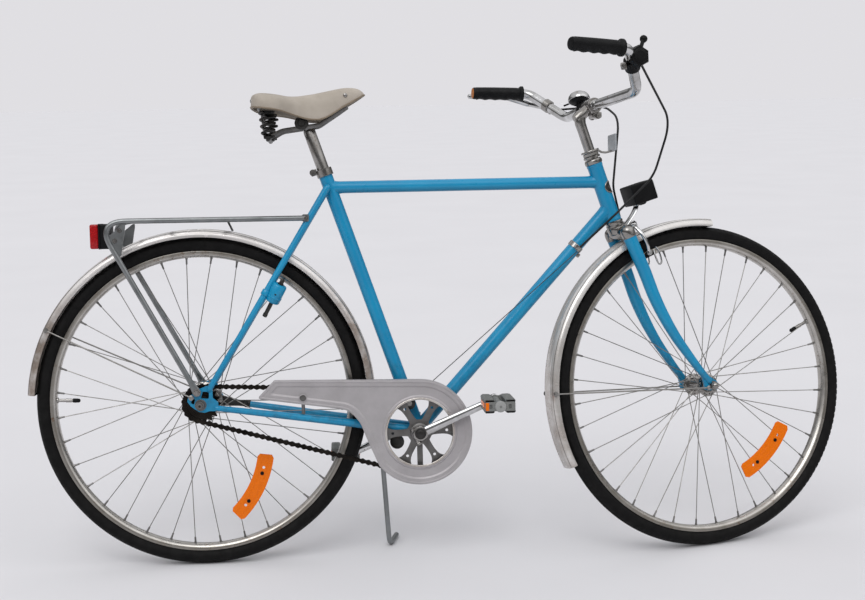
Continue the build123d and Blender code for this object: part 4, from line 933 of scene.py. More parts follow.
rim_line = [row[0] for row in rows] + [row[ACROSS] for row in reversed(rows)]
sweep(saddle, [p + Vector((0, 0, 0.4)) for p in rim_line], 1.8, 8, closed=True)
saddle.mat = 1
for s in (-1, 1):
    knob(saddle, (314, s * (smooth_at(WIDTH, 314) - 1.6), 978.0), (0.12, s, 0.12),
         ((0, 4.4), (1.6, 4.2), (2.6, 3.0), (3.0, 1.4)), 18)
    knob(saddle, (120.6, s * 44.0, 967.0), (-1, s * 0.2, 0.05), ((-1.0, 4.4), (0.8, 4.2), (1.8, 2.6)), 18)
skin = make("saddle_skin", saddle, "frame", [CREAM, DULL_CHROME, PIPING], "saddle_cover", angle=70)

# Rails as flat straps, the clamp behind the post and the coil springs
SPRING_X, SPRING_Y = -80, 46
g = Geo()
for s in (-1, 1):
    bends = [(84, 10, 40), (66, 15, 28), (24, 21, 1), (-52, 21, -9), (SPRING_X, SPRING_Y, -24)]
    strap = fillet([bp(x, s * y, z) for x, y, z in bends], 22, 8)
    sweep(g, strap, [(4.8, 1.7)] * len(strap), 14, ref=UP)
g.mat = 1
sweep(g, [bp(SPRING_X, -53, -27), bp(SPRING_X, 53, -27)], 4.6, 18)
sweep(g, through([bp(-74, -80, 35), bp(-94, -66, 36), bp(-100, 0, 36), bp(-94, 66, 36), bp(-74, 80, 35)], 5), 3.4, 12)
clamp = bp(-12, 0, 6)
band(g, clamp, SIDE, 0.1, 12, 13, 13, 12, 36)
for s in (-1, 1):
    nut = [(0.1, 13.0), (12.0, 13.0), (13.6, 14.0), (14.2, 16.0), (14.2, 25.0), (13.2, 27.0), (8.4, 27.8), (8.0, 27.0),
           (0.1, 27.0)]
    lathe(g, sided(nut, s), clamp, SIDE, 40)
    hexnut(g, clamp + SIDE * (s * 27.0), SIDE * s, 7.0, 5.0)
make("saddle_rail_straps", g, "frame", [GREY_STEEL, DARK_STEEL], "saddle_rails")

g = Geo()
for s in (-1, 1):
    spring(g, bp(SPRING_X, s * SPRING_Y, -22), 11.5, 5.5, 13.6, 3.7, 2.7, 10, 28)
    spring(g, bp(SPRING_X, s * SPRING_Y, -20), 6.0, 2.5, 12.4, 3.9, 1.7, 8, 20)
    knob(g, bp(SPRING_X, s * SPRING_Y, -27), UP, ((0, 8), (2, 9.5), (5, 9.5), (7, 7.0)), 24)
    knob(g, bp(SPRING_X, s * SPRING_Y, 26), UP, ((0, 13), (1, 15.5), (4, 15.5), (5, 11)), 24)
make("saddle_coil_springs", g, "frame", DARK_STEEL, "saddle_springs")

# Axles with their nuts, and the hub brake's arm
g = Geo()
for s in (-1, 1):
    end = REAR + SIDE * (s * 84)
    g.mat = 0
    knob(g, REAR + SIDE * (s * 64.5), SIDE * s, ((0, 12), (1.0, 12), (1.6, 11.4)), 32)
    hexnut(g, REAR + SIDE * (s * 66), SIDE * s, 10.4, 8.5)
    hexnut(g, REAR + SIDE * (s * 50), SIDE * s, 9.5, 8.0)
    lathe(g, [(2.6, 0), (4.3, 0), (4.95, -0.8), (4.95, -30)], end, SIDE * s, 24)
    g.mat = 1
    knob(g, end - SIDE * (s * 3), SIDE * s, ((-0.5, 2.7), (0, 2.7)), 16)
g.mat = 0
sweep(g, [REAR - SIDE * 80, REAR + SIDE * 80], 4.9, 20)
make("rear_axle_nuts", g, "frame", [GREY_STEEL, DARK_STEEL], "rear_axle")

g = Geo()
sweep(g, [FRONT - SIDE * 66, FRONT + SIDE * 66], 4.4, 18)
for s in (-1, 1):
    knob(g, FRONT + SIDE * (s * 55.6), SIDE * s, ((0, 10), (1.4, 10)), 26)
    hexnut(g, FRONT + SIDE * (s * 57), SIDE * s, 9.0, 6.5)
    knob(g, FRONT + SIDE * (s * 63), SIDE * s, ((0, 7.6), (1.6, 7.6), (4.0, 6.2), (6.0, 3.8), (6.8, 1.4)), 26)
    hexnut(g, FRONT + SIDE * (s * 40), SIDE * s, 9.0, 6.0)
make("front_axle_nuts", g, "steering", DULL_CHROME, "front_axle")

g = Geo()
outline = arc_of(0, AXLE_Z, 17, 100, 10, 17)
outline += [(70, 326), (84, 324), (90, 328), (90, 334), (84, 338), (70, 339)]
plate(g, outline, 45.0, 49.0)
sweep(g, [(84, 46, 331), (88, 57.0, 330.4)], 4.6, 16)
bolt(g, (84, 45, 331), RIGHT, 4.2, 3.6)
lathe(g, [(6.4, -6), (8.0, -5.6), (8.2, -5), (8.2, 5), (8.0, 5.6), (6.4, 6)], (88, 56.7, 328.5), (-306, 30, 48), 28)
make("brake_arm_plate", g, "frame", DARK_STEEL, "brake_arm", bevel=0.6)

# Fork
g = Geo()
sweep(g, [ax(372, 4, y) for y in (-30, -22, 22, 30)], [11.0, 14.2, 14.2, 11.0], 36)
lathe(g, [(14.0, 372), (18.4, 374), (19.0, 376), (19.0, 385.5), (18.4, 387.3), (12.4, 387.5)], STEER_FOOT, STEER_UP, 44)
lathe(g, [(12.45, 386), (12.45, 556)], STEER_FOOT, STEER_UP, 36)
lathe(g, [(12.45, 542.6), (17.4, 542.6), (18.0, 543.2), (18.0, 547.0), (17.2, 547.8), (16.0, 548.0)],
      STEER_FOOT, STEER_UP, 44)
hexnut(g, ax(548), STEER_UP, 18.6, 7.6)
for s in (-1, 1):
    socket = [ax(374, 4, s * 37.3), ax(370, 4.2, s * 37.5), ax(363, 4.6, s * 37.8), ax(360, 4.8, s * 37.9)]
    sweep(g, socket, [(15.6, 15.2), (15.8, 15.4), (15.6, 15.0), (14.8, 14.2)], 36, ref=STEER_FWD)
    knob(g, ax(373, 4, s * 37.4), STEER_UP,
         ((-4, 15.6), (0, 15.6), (4, 15.0), (8, 13.2), (11.5, 9.8), (13.8, 5.4), (14.6, 1.5)), 36)
make("fork_crown_chrome", g, "steering", DULL_CHROME, "fork_steerer")

g = Geo()
BLADE = ((371, 4, 37.5, 14.4, 14.0), (330, 6.5, 39, 14.2, 12.4), (280, 9.9, 41.2, 14.0, 12.0),
         (225, 11, 44, 13.4, 11.6), (175, 16.5, 46.6, 12.2, 10.8), (125, 26.5, 49, 10.8, 9.8),
         (85, 38.5, 50.8, 9.5, 8.8), (50, 50, 52.2, 8.3, 8.0), (12, 64.5, 53, 7.0, 7.0))
centre_line = through([ax(s, d, -y) for s, d, y, ra, rb in BLADE], 5)
radii = []
for k in range(len(centre_line)):
    i = min(k // 5, len(BLADE) - 2)
    u = (k - i * 5) / 5
    radii.append((BLADE[i][3] * (1 - u) + BLADE[i + 1][3] * u, BLADE[i][4] * (1 - u) + BLADE[i + 1][4] * u))
sweep(g, centre_line, radii, 32, ref=STEER_FWD)
knob(g, ax(371, 4, -37.5), STEER_UP,
     ((-4, 14.3), (0, 14.3), (4, 13.8), (8, 12.2), (11.5, 9.0), (13.6, 5.0), (14.2, 1.5)), 32)
knob(g, ax(12, 64.5, -53), STEER_FWD * 0.6 - STEER_UP, ((0, 7.0), (3, 6.2), (6, 4.0), (8, 2.0)), 22)
tip = rounded([(1061, 335), (1083, 336), (1082, 353), (1062, 366), (1046, 366), (1051, 346), (1051, 337)], 6, 5)
plate(g, tip, -55.5, -50.5)
g.mirrored()
make("fork_blades_paint", g, "steering", BLUE, "fork_blades", bevel=0.6)

# Stem, bar, grips and what is clamped on the bar
BAR_CLAMP = Vector((838.0, 0.0, 949.0))
BAR_FRONT = Vector((858.0, 172.0, 952.0))
BAR_TURN = Vector((802.0, 252.0, 1020.0))
GRIP_END = Vector((671.0, 268.5, 1022.0))
grip_dir = (GRIP_END - BAR_TURN).normalized()


def on_grip(back):
    return GRIP_END - grip_dir * back


def on_bar(f, dx=0.0, dy=0.0, dz=0.0):
    """Point on the bar's left rising part, 0 at the front bend and 1 at the grip's bend."""
    return BAR_FRONT.lerp(BAR_TURN, f) + Vector((dx, dy, dz))


def right_bar(f, dx=0.0, dy=0.0, dz=0.0):
    return mir(on_bar(f)) + Vector((dx, dy, dz))


g = Geo()
route = [on_grip(6), BAR_TURN, BAR_FRONT, BAR_CLAMP]
route = route + [mir(p) for p in reversed(route[:-1])]
sweep(g, fillet(route, [0, 34, 44, 300, 44, 34, 0], 16), 11.0, 32)
sweep(g, [BAR_CLAMP + SIDE * y for y in (-26, -22, 22, 26)], [11.2, 12.2, 12.2, 11.2], 32)
make("handlebar_chrome", g, "steering", CHROME, "handlebar")

g = Geo()
neck = ax(634.0)
sweep(g, [ax(554), ax(606), ax(620), ax(631, 2.5), ax(638, 9)], [11.1, 11.1, 11.6, 12.6, 11.0], 36)
arm = (BAR_CLAMP - neck).normalized()
sweep(g, [neck - arm * 8, neck + arm * 2, neck + arm * 16, BAR_CLAMP - arm * 10], [10.5, 13.0, 12.0, 11.8], 32)
band(g, BAR_CLAMP, SIDE, 12.3, 15.6, 16.5, 18.6, 17.6, 40)
box(g, BAR_CLAMP + Vector((8, 0, -19)), (20, 26, 13), 2.4)
bolt(g, BAR_CLAMP + Vector((8, -13, -21)), RIGHT, 5.0, 5.0)
knob(g, BAR_CLAMP + Vector((8, 13, -21)), SIDE, ((0, 6), (4, 6), (6, 4)), 20)
knob(g, ax(641, 1.0), STEER_UP, ((-6, 10), (1, 10.2), (3, 8.4), (3.4, 6.0), (2.0, 5.4)), 24)
hexnut(g, ax(642, 1.0), STEER_UP, 6.2, 5.0)
make("stem_chrome", g, "steering", DULL_CHROME, "stem")

# Grips: ribbed sleeve with a flange, plug in the end
g = Geo()
profile = []
for k in range(79):
    h = 117.0 * k / 78
    r = 13.4 + 0.5 * sin(pi * h / 117) + (0.55 if (k % 2 == 0 and 6 < h < 104) else 0.0)
    if h > 108:
        r = 14.0 + 3.4 * min(1.0, (h - 108) / 4)
    if h < 3:
        r = 12.2 + 0.45 * h
    profile.append((r, h))
sleeve = [(6.0, 0.0)] + profile + [(11.2, 117.0)]


def fingers(k, i, r, h):
    low = max(0.0, -cos(pi * k / 20))
    return (r + 1.0 * low * sin(2 * pi * h / 23.5) if 8 < h < 104 else r), h


lathe(g, sleeve, GRIP_END, -grip_dir, 40, wobble=fingers)
lathe(g, sleeve, mir(GRIP_END), -mir(grip_dir), 40, wobble=fingers)
plug = ((-0.5, 11.8), (0.8, 11.6), (1.6, 9.0), (1.8, 4.0))
knob(g, mir(GRIP_END), mir(grip_dir), plug, 28)
g.mat = 1
knob(g, GRIP_END, grip_dir, plug, 28)
make("grip_sleeves", g, "steering", [GRIP, ORANGE_PLUG], "grips")

# Brake lever on the left: clamp band, perch and flat blade
g = Geo()
rise = (BAR_TURN - BAR_FRONT).normalized()
band(g, on_bar(0.5), rise, 11.1, 13.6, 14.4, 8, 7.2, 36)
box(g, on_bar(0.5, 9, 9, -4), (22, 20, 18), 5.0)
knob(g, on_bar(0.5, 12, 8, -13), (0.2, 0.1, -1), ((-6, 6.5), (2, 6.5), (4, 5.0), (4.5, 2.0)), 20)
LEVER_TIP = (676, 303, 1021)
line = fillet([on_bar(0.5, 10, 10, -4), (808, 270, 1000), (770, 292, 1017), LEVER_TIP], 24, 8)
count = len(line) - 1
g.mat = 1
sweep(g, line, [(5.4 + 1.4 * sin(pi * k / count), 2.6) for k in range(count + 1)], 18, ref=UP)
knob(g, LEVER_TIP, (-1, 0.12, 0), ((-3, 4.0), (0, 5.6), (2.4, 5.4), (4.4, 2.6)), 18)
make("brake_lever_blade", g, "steering", [DULL_CHROME, CHROME], "brake_lever")

# Shifter on the right: six-sided housing, round covers, thumb lever
g = Geo()
along = mir(rise)
across_s = along.cross(UP).normalized()
up_s = across_s.cross(along)
house = right_bar(0.68, 6, -11, 8)
hexnut(g, house - SIDE * 16, SIDE, 22.5, 31)
band(g, right_bar(0.64), along, 11.1, 14.6, 15.4, 13, 12.2, 36)
knob(g, house - SIDE * 14, RIGHT, ((-4, 15.0), (2.6, 15.0), (4.4, 13.4), (5.2, 9.0), (4.6, 8.4), (4.6, 3.0)), 32)
knob(g, house + SIDE * 13, SIDE, ((-4, 13.5), (3, 13.5), (4.4, 12.0), (4.8, 3.0)), 28)
thumb = right_bar(0.68, 33, 8, 49)
lever = fillet([right_bar(0.68, 10, -8, 18), right_bar(0.68, 21, -2, 30), thumb], 14, 6)
sweep(g, lever, [(4.8, 3.4)] * len(lever), 14)
knob(g, thumb, (0.5, 0, 0.85), ((-7, 3.6), (-5, 6.2), (-1, 7.8), (3, 7.4), (6, 5.0), (7.2, 2.0)), 24)
g.mat = 1
box(g, right_bar(0.70, -18, -2, -10), (12, 13, 10), 2.4, (across_s, along, up_s))
bolt(g, right_bar(0.70, -20, -8, -11), (-0.2, -1, -0.1), 3.2, 2.6)
make("shifter_body", g, "steering", [BLACK, DULL_CHROME], "shifter")

g = Geo()
FOOT = BAR_CLAMP.lerp(BAR_FRONT, 0.36)
BELL = FOOT + Vector((-6, 0, 25))
BELL_UP = Vector((0.06, 0.30, 0.95)).normalized()
g.mat = 1
knob(g, BELL, BELL_UP, ((-10, 12), (-9, 16), (-6, 20.0), (-4, 21.0), (-3, 19)), 40)
sweep(g, [FOOT + Vector((-6, 0, 2)), BELL - Vector((0, 0, 6))], [7.0, 6.4], 20)
band(g, FOOT, BAR_FRONT - BAR_CLAMP, 11.1, 12.8, 13.3, 6, 5.2, 32)
lever = through([BELL + Vector(p) for p in ((-8, 18, -4), (-14, 28, -6), (-22, 33, -9))], 5)
sweep(g, lever, [(1.6, 4.0)] * len(lever), 10)
g.mat = 0
lathe(g, [(22.4, -3.6), (24.0, -3.4), (24.2, -2.0), (23.8, 1.5), (22.2, 6.5), (18.8, 11.2), (13.6, 14.6), (7.0, 16.2),
          (2.8, 16.6), (2.8, 17.0), (0.1, 17.2)], BELL, BELL_UP, 48)
make("bell_dome", g, "steering", [CHROME, BLACK], "bell")

# Headlamp with its strip and the plate reflector
LAMP = ax(438.3, 79.1)
lamp_axes = tilted(17.0)
lx, lz = lamp_axes[0], lamp_axes[2]
g = Geo()
box(g, LAMP - lx * 3.0, (52, 56, 43), 3.2, lamp_axes)
box(g, LAMP + lx * 21.5, (9, 56, 43), 2.4, lamp_axes)
for k in range(5):
    box(g, LAMP - lx * (22 - 7 * k) + lz * 21.3, (2.0, 40, 1.4), 0.5, lamp_axes)
knob(g, LAMP - lz * 21, -lz, ((0, 9), (3, 9), (5, 6)), 20)
g.mat = 1
box(g, LAMP + lx * 26.2, (5, 50, 37), 2.0, lamp_axes)
make("headlamp_shell", g, "steering", [BLACK, GLASS], "headlamp")

g = Geo()
strip = through([(932, 0, 742), (934, 0, 734), (926, 0, 719), (913, 0, 702), (904, 0, 691)], 6)
sweep(g, strip, [(4.4 - 1.4 * k / len(strip), 11.0) for k in range(len(strip))], 20, ref=Vector((1, 0, 0.4)))
make("lamp_bracket_strip", g, "steering", CHROME, "lamp_strip")

g = Geo()
px, pz = Vector((0.03, 0, 1.0)).normalized(), Vector((1.0, 0, -0.03)).normalized()
box(g, ax(559.5, 56.8), (36, 37, 4.2), 2.0, (px, SIDE, pz))
g.mat = 1
sweep(g, fillet([ax(543, 56), ax(545, 34), ax(549, 25), ax(558, 17)], 6, 5), 2.4, 12)
lathe(g, [(11.3, 556.2), (19.0, 556.2), (19.6, 557), (19.6, 559), (19.0, 560), (11.3, 560)], STEER_FOOT, STEER_UP, 36)
make("front_reflector_shield", g, "steering", [CLEAR_GREY, DULL_CHROME], "front_reflector_plate")

# Mudguards: rolled edges, side flutes and a raised middle
MUD = [(346.2, 24.8), (346.6, 25.4), (347.8, 25.5), (350.6, 25.0), (353.4, 24.4), (355.6, 23.1), (358.0, 21.0),
       (359.6, 18.4), (360.4, 15.6), (361.3, 14.2), (361.6, 12.4), (361.2, 10.8), (361.5, 8.0), (362.0, 5.0),
       (362.1, 2.0)]
GROOVE_R, GROOVE_Y = 358.6, 20.3


def mudguard(centre, start, arc, segs):
    g = Geo()
    outer = both(MUD)
    inner = [(r - 1.1, y * 0.965) for r, y in reversed(outer)]
    turn_y(g, outer + inner, centre, segs, start, arc, loop=True)
    g.mat = 1
    for s in (-1, 1):
        turns = [radians(start + arc * (0.003 + 0.994 * k / segs)) for k in range(segs + 1)]
        sweep(g, [centre + polar(a, GROOVE_R, s * GROOVE_Y) for a in turns], 0.45, 6)
    return g


g = mudguard(FRONT, 84.6, 121.4, 120)
g.mat = 2
for s in (-1, 1):
    knob(g, (718, s * 22, 344), (0, s, 0), ((0, 4.2), (2.0, 4.2), (3.0, 2.6)), 16)
make("front_mudguard_sheet", g, "steering", [STAINLESS, DARK_STEEL, DULL_CHROME], "front_mudguard",
     angle=40)
g = mudguard(REAR, 5.0, 171.0, 168)
make("rear_mudguard_sheet", g, "frame", [REAR_STAINLESS, DARK_STEEL], "rear_mudguard", angle=40)

STAYS = (("front", "steering", (718, 343.8), (1059, -58, 341), -55.6, ((0, 4.8), (4.2, 4.8), (5.0, 3.4))),
         ("rear", "frame", (-315.9, 505.2), (-18.5, -66.8, 361), -64.6, ((0, 5.4), (4.2, 5.4), (5.2, 3.8))))
for end, body, (x, z), foot, eye_y, eye_rings in STAYS:
    g = Geo()
    sweep(g, [(x, -27, z), foot], 1.6, 12)
    bolt(g, (x, -25.5, z), RIGHT, 3.6, 3.0)
    knob(g, (foot[0], eye_y, foot[2]), RIGHT, eye_rings, 18)
    g.mirrored()
    make(end + "_stay_wires", g, body, SPOKE_STEEL, end + "_stays")

# Front brake: bent arms, pads, a wire guide on each pad and the middle bolt
PAD_BOLT = (944, -34, 634)
BRAKE_AXIS = (0.95, 0, 0.3)
g = Geo()
arms = through([(914, -6, 695), (918, -22, 690), (928, -35.5, 672), (938, -36, 652), (944, -31, 634)], 6)
sweep(g, arms, [(4.4, 3.6)] * len(arms), 16, ref=STEER_FWD)
g.mat = 1
box(g, (943.2, -19.8, 626.3), (46, 9, 8), 1.6, tilted(24.6))
g.mat = 0
bolt(g, PAD_BOLT, RIGHT, 4.4, 4.0)
sweep(g, [(943, -20, 631), PAD_BOLT], 3.4, 12)
guide = through([(958, -26, 640), (961, -30, 622), (968, -29.5, 609), (975, -28, 614), (971, -27, 634),
                 (963, -26, 646)], 5)
sweep(g, guide, 1.9, 10)
g.mirrored()
knob(g, (898, 0, 687), BRAKE_AXIS,
     ((0, 6.0), (4, 6.0), (6, 7.5), (14, 7.5), (16, 9.0), (24, 9.0), (28, 7.5), (33, 7.0), (35, 4)), 26)
sweep(g, fillet([(914, 4, 696), (912, 20, 702), (911, 29, 700)], 6, 4), 3.8, 14)
hexnut(g, (926, 0, 696), BRAKE_AXIS, 8.0, 6.0)
make("front_brake_caliper", g, "steering", [CHROME, BLACK], "front_brake")

g = Geo()
pull = ax(385.7, 28.0, 27) + Vector((0, 0, 3))
route = [on_bar(0.45, 12, 4, -6), ax(640, 126, 110), ax(604, 107, 30), ax(470, 35, 20), pull]
route = fillet(route, [0, 70, 60, 60, 0], 12)
sweep(g, route, 2.4, 14)
knob(g, pull + Vector((0, 0, 8)), -UP, ((0, 3.2), (8, 3.2), (9, 2.2)), 14)
make("brake_cable_sleeve", g, "steering", CABLE, "brake_cable")

# Gear cable from the bar to the clip on the down tube, its bar end set by the steering's rest turn
CLIP = DOWN_TOP - DOWN * 110
on_steer = [right_bar(0.66, 22, 2, -2), ax(562, 146, -106), ax(464, 100.2, -46)]
route = [TURNED @ Vector(p) for p in on_steer] + [ax(418.2, 6.1, -35), CLIP + Vector((7, -18, -1.4))]
line = fillet(route, [0, 90, 60, 60, 0], 14)
smooth = []
for p, q in zip(line, line[1:]):
    steps = max(1, int((q - p).length / 8))
    smooth += [p.lerp(q, k / steps) for k in range(steps)]
g = Geo()
sweep(g, smooth + [line[-1]], 2.4, 14)
cable = make("gear_cable_sleeve", g, "frame", CABLE, "gear_cable", ride=False)
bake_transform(cable)

g = Geo()
band(g, CLIP, DOWN, 14.4, 15.6, 16.2, 5.5, 5.0, 40)
clip_axes = (DOWN, SIDE, SIDE.cross(DOWN))
box(g, CLIP + Vector((0, -18.6, 0)), (10, 7, 9), 1.4, clip_axes)
box(g, CLIP + Vector((4, -2, -18)), (9, 11, 9), 2.0, clip_axes)
g.mat = 1
pulley = seat(61, -25)
sweep(g, [CLIP + Vector((0, -19, -10)), pulley + Vector((6, 0, 8))], 0.9, 8)
sweep(g, [pulley + Vector((-7, 0, 7)), Vector((66, -54, AXLE_Z + 7))], 0.9, 8)
groove = [(4.0, 3.0), (12.0, 3.0), (13.0, 2.4), (13.0, 1.6), (11.4, 0.6)]
groove += [(r, -h) for r, h in reversed(groove)]
lathe(g, groove, pulley, SIDE, 36)
g.mat = 0
bolt(g, pulley - SIDE * 3, RIGHT, 3.6, 3.0)
sweep(g, [pulley + SIDE * 11, pulley - SIDE * 3], 4.0, 14)
make("gear_wire_run", g, "frame", [DULL_CHROME, DARK_STEEL], "gear_wire")

# Lock barrel on the right seatstay
g = Geo()
base, tip_l = on_stay(0.43, 24, 4), on_stay(0.515, 21, -7)
ldir = (tip_l - base).normalized()
length = (tip_l - base).length
knob(g, base, ldir, ((-1, 11), (0, 13.6), (2, 15.0), (length - 2, 15.0), (length, 13.6), (length + 1, 10)), 36)
lathe(g, [(15.0, 10), (15.7, 10.6), (15.7, 13), (15.0, 13.6)], base, ldir, 36)
g.mat = 1
knob(g, tip_l, ldir, ((0, 6.4), (3, 6.4), (3.4, 4.6), (12, 4.6), (14.0, 3.2)), 22)
foot = on_stay(0.357, 26, 7)
sweep(g, [base, foot], [4.4, 4.2], 16)
knob(g, foot, foot - base, ((-7, 4.9), (0, 4.9), (1.5, 2.8)), 18)
knob(g, base + ldir * (0.45 * length) - SIDE * 14.6, RIGHT, ((0, 2.2), (0.8, 2.0), (0.9, 0.4)), 16)
g.mat = 0
lock_at = on_stay(0.475)
band(g, lock_at, way, 7.2, 8.6, 9.0, 6, 5.4, 26)
sweep(g, [lock_at, base + ldir * 20], 4.0, 14)
make("frame_lock_barrel", g, "frame", [BLUE, DARK_STEEL], "frame_lock")

# Rear carrier: hoop, cross bars, gussets with bolts, flattened feet
DECK = 727.0
g = Geo()
front_share = (DECK - 2 - STAY_LOW.z) / (STAY_TOP.z - STAY_LOW.z)
deck_front, deck_back = on_stay(front_share, -9, -8), Vector((-198, -66, DECK))
eye = Vector((-6.5, -71.0, AXLE_Z + 27.5))
leg = (deck_back - eye).normalized()
line = fillet([deck_front, deck_back, eye + leg * 26], 36, 12)
sweep(g, line, 5.6, 24)
flat = [eye + leg * 28, eye + leg * 18, eye + leg * 10, eye]
sweep(g, flat, [(5.6, 5.6), (6.4, 3.4), (7.6, 2.3), (8.6, 2.2)], 24, ref=leg.cross(SIDE))
knob(g, eye + SIDE * 2.2, RIGHT, ((0, 8.6), (4.4, 8.6)), 28)
gusset = rounded([(-138, DECK - 1), (-176, DECK - 32), (-156, DECK - 75), (-150, DECK - 70)], 5)
plate(g, gusset, -68.0, -65.0)
tab = [(deck_front.x + x, DECK + z) for x, z in ((-6, 6), (8, 6), (8, -9), (-6, -9))]
plate(g, rounded(tab, 3), deck_front.y - 2.0, deck_front.y + 2.0)
g.mat = 1
bolt(g, eye - SIDE * 2.2, RIGHT, 4.8, 3.8)
bolt(g, (-152, -68, DECK - 19), RIGHT, 3.4, 2.6)
bolt(g, (-162, -68, DECK - 40), RIGHT, 3.4, 2.6)
bolt(g, (deck_front.x + 1, deck_front.y - 2.4, DECK - 2), RIGHT, 3.4, 2.4)
g.mat = 0
g.mirrored()


def deck_half(x):
    return deck_front.lerp(deck_back, (deck_front.x - x) / (deck_front.x - deck_back.x)).y


first, final = -138.0, deck_front.x - 47
for x in (first, -60.0, 60.0, final):
    sweep(g, [(x, deck_half(x), DECK - 1), (x, -deck_half(x), DECK - 1)], 4.0, 18)
for y in (-18.0, 18.0):
    sweep(g, [(first, y, DECK - 1), (final, y, DECK - 1)], 3.0, 14)
g.mat = 2
flap_axes = (Vector((0.9, 0, 0.42)).normalized(), SIDE, Vector((-0.42, 0, 0.9)).normalized())
box(g, (66, 0, DECK - 13), (3.0, 22, 28), 1.0, flap_axes)
g.mat = 0
sweep(g, [(-178, -66, DECK - 32), (-178, 66, DECK - 32)], 4.0, 16)
make("carrier_tubes", g, "frame", [CARRIER_MAT, DULL_CHROME, DARK_STEEL], "carrier")

# Tail lamp and its ribbed lens
TAIL_Z = 696
g = Geo()
box(g, (-189, 0, TAIL_Z), (22, 50, 52), 4.0)
box(g, (-200.5, 0, TAIL_Z), (4, 51, 53), 1.4)
make("tail_lamp_base", g, "frame", BLACK, "tail_lamp")
g = Geo()
box(g, (-211, 0, TAIL_Z), (18, 49, 51), 4.0)
for dz in range(-18, 19, 6):
    sweep(g, [(-219.6, -18, TAIL_Z + dz), (-219.6, 18, TAIL_Z + dz)], 0.9, 8)
make("tail_lamp_lens", g, "frame", RED, "tail_lens")

# Chainguard: pressed sheet with a sunk panel, a turned-in edge and two beads
GUARD_R = 110.0


def guard_arc(radius):
    return [crank_point(radians(90 - 4 * k), radius) for k in range(59)]


guard = guard_arc(GUARD_R)
low_side = [guard[-1], (BB.x - 112, 0, BB.z - 8), (BB.x - 124, 0, BB.z + 24), (BB.x - 147, 0, BB.z + 52),
            (114.8, 0, 353), (151.9, 0, 391), (BB.x, 0, BB.z + GUARD_R)]
guard += fillet(low_side, [0, 60, 60, 60, 5, 8, 0], 8)[1:-1]


def inset(d):
    """Guard's outline drawn in by d."""
    pts = [Vector(p) for p in low_side]
    norm = []
    for p, q in zip(pts, pts[1:]):
        t = (q - p).normalized()
        norm.append(Vector((t.z, 0, -t.x)))
    moved = [crank_point(radians(-142), GUARD_R - d)]
    for i in range(1, len(pts) - 1):
        moved.append(pts[i] + (norm[i - 1] + norm[i]) * (d / (1 + norm[i - 1].dot(norm[i]))))
    moved.append(Vector((BB.x, 0, BB.z + GUARD_R - d)))
    return guard_arc(GUARD_R - d) + fillet(moved, [0, 60, 60, 60, 4, 6, 0], 8)[1:-1]


def step(a, ya, b, yb):
    """Sloping sheet between two loops of the same count."""
    g.add([(p.x, ya, p.z) for p in a] + [(p.x, yb, p.z) for p in b], grid(2, len(a)))


def sheet(outline, hole, y):
    """Flat face with one hole."""
    tris = tessellate_polygon([[Vector((p.x, p.z, 0)) for p in loop] for loop in (outline, hole)])
    g.add([(p.x, y, p.z) for p in outline + hole], [tuple(t) for t in tris])


def ring_line(radius):
    return [Vector((x, 0, z)) for x, z in circle(BB.x, BB.z, radius, 96)]


SUNK, THICK = 2.3, 1.3
edge_in, panel = inset(11.5), inset(15.0)
hub_out, hub_in, window = ring_line(79.0), ring_line(76.0), ring_line(69.0)
m = len(guard)
inward = []
for i in range(m):
    t = (guard[(i + 1) % m] - guard[i - 1]).normalized()
    inward.append(Vector((t.z, 0, -t.x)))
inner = [p + w * 1.2 for p, w in zip(guard, inward)]
deep = [24.0 if (p.z > 330 and p.x > 160) or p.x > 430 else 5.0 for p in guard]
g = Geo()
for outline, y in ((guard, GUARD_Y), (inner, GUARD_Y + THICK)):
    sheet(outline, edge_in, y)
    step(edge_in, y, panel, y + SUNK)
    sheet(panel, hub_out, y + SUNK)
    step(hub_out, y + SUNK, hub_in, y)
    sheet(hub_in, window, y)
step(window, GUARD_Y, window, GUARD_Y + THICK)
skin = []
for loop, ys in ((guard, [0.0] * m), (guard, deep), (inner, deep), (inner, [THICK] * m)):
    skin += [(p.x, GUARD_Y + y, p.z) for p, y in zip(loop, ys)]
g.add(skin, grid(4, m))


def bead(points, wide, high):
    line = [Vector((p.x, GUARD_Y, p.z)) for p in points]
    sweep(g, line, [(high, wide)] * len(line), 12, closed=True, ref=SIDE)


bead([p + w * 3.0 for p, w in zip(guard, inward)], 2.4, 1.1)
g.mat = 2
bead(ring_line(71.2), 2.4, 1.5)


def hook(y, dz=0):
    """Point on the axis of the rear fixing's bolt."""
    return (BB.x - 242, y, 352 + dz)


g.mat = 0
knob(g, hook(GUARD_Y - 0.2), RIGHT, ((0, 8.4), (1.2, 8.4), (1.6, 7.4), (1.2, 6.6)), 28)
g.mat = 1
knob(g, hook(GUARD_Y - 0.6), RIGHT, ((0, 6.6), (1.0, 6.4)), 28)
hexnut(g, hook(GUARD_Y - 1.4), RIGHT, 5.4, 3.2)
sweep(g, [hook(GUARD_Y), hook(-49)], 3.4, 14)
sweep(g, fillet([hook(-50, 2), hook(-49, -14), hook(-46, -34)], 6, 4), [(3.6, 3.6)] * 7, 14)
box(g, (BB.x, -37.2, 212), (12, 2.4, 96), 0.9)
sweep(g, [(BB.x, -36, 169), (BB.x, GUARD_Y + 0.5, 169)], 3.6, 14)
bolt(g, (BB.x, -38, 257), RIGHT, 4.0, 3.2)
knob(g, (BB.x + 2, GUARD_Y + 8, 163.4), -UP, ((-2, 4.6), (1.4, 4.6), (2.2, 3.2)), 20)
make("chainguard_sheet", g, "frame", [ALU, GREY_STEEL, STAINLESS], "chainguard", angle=16)

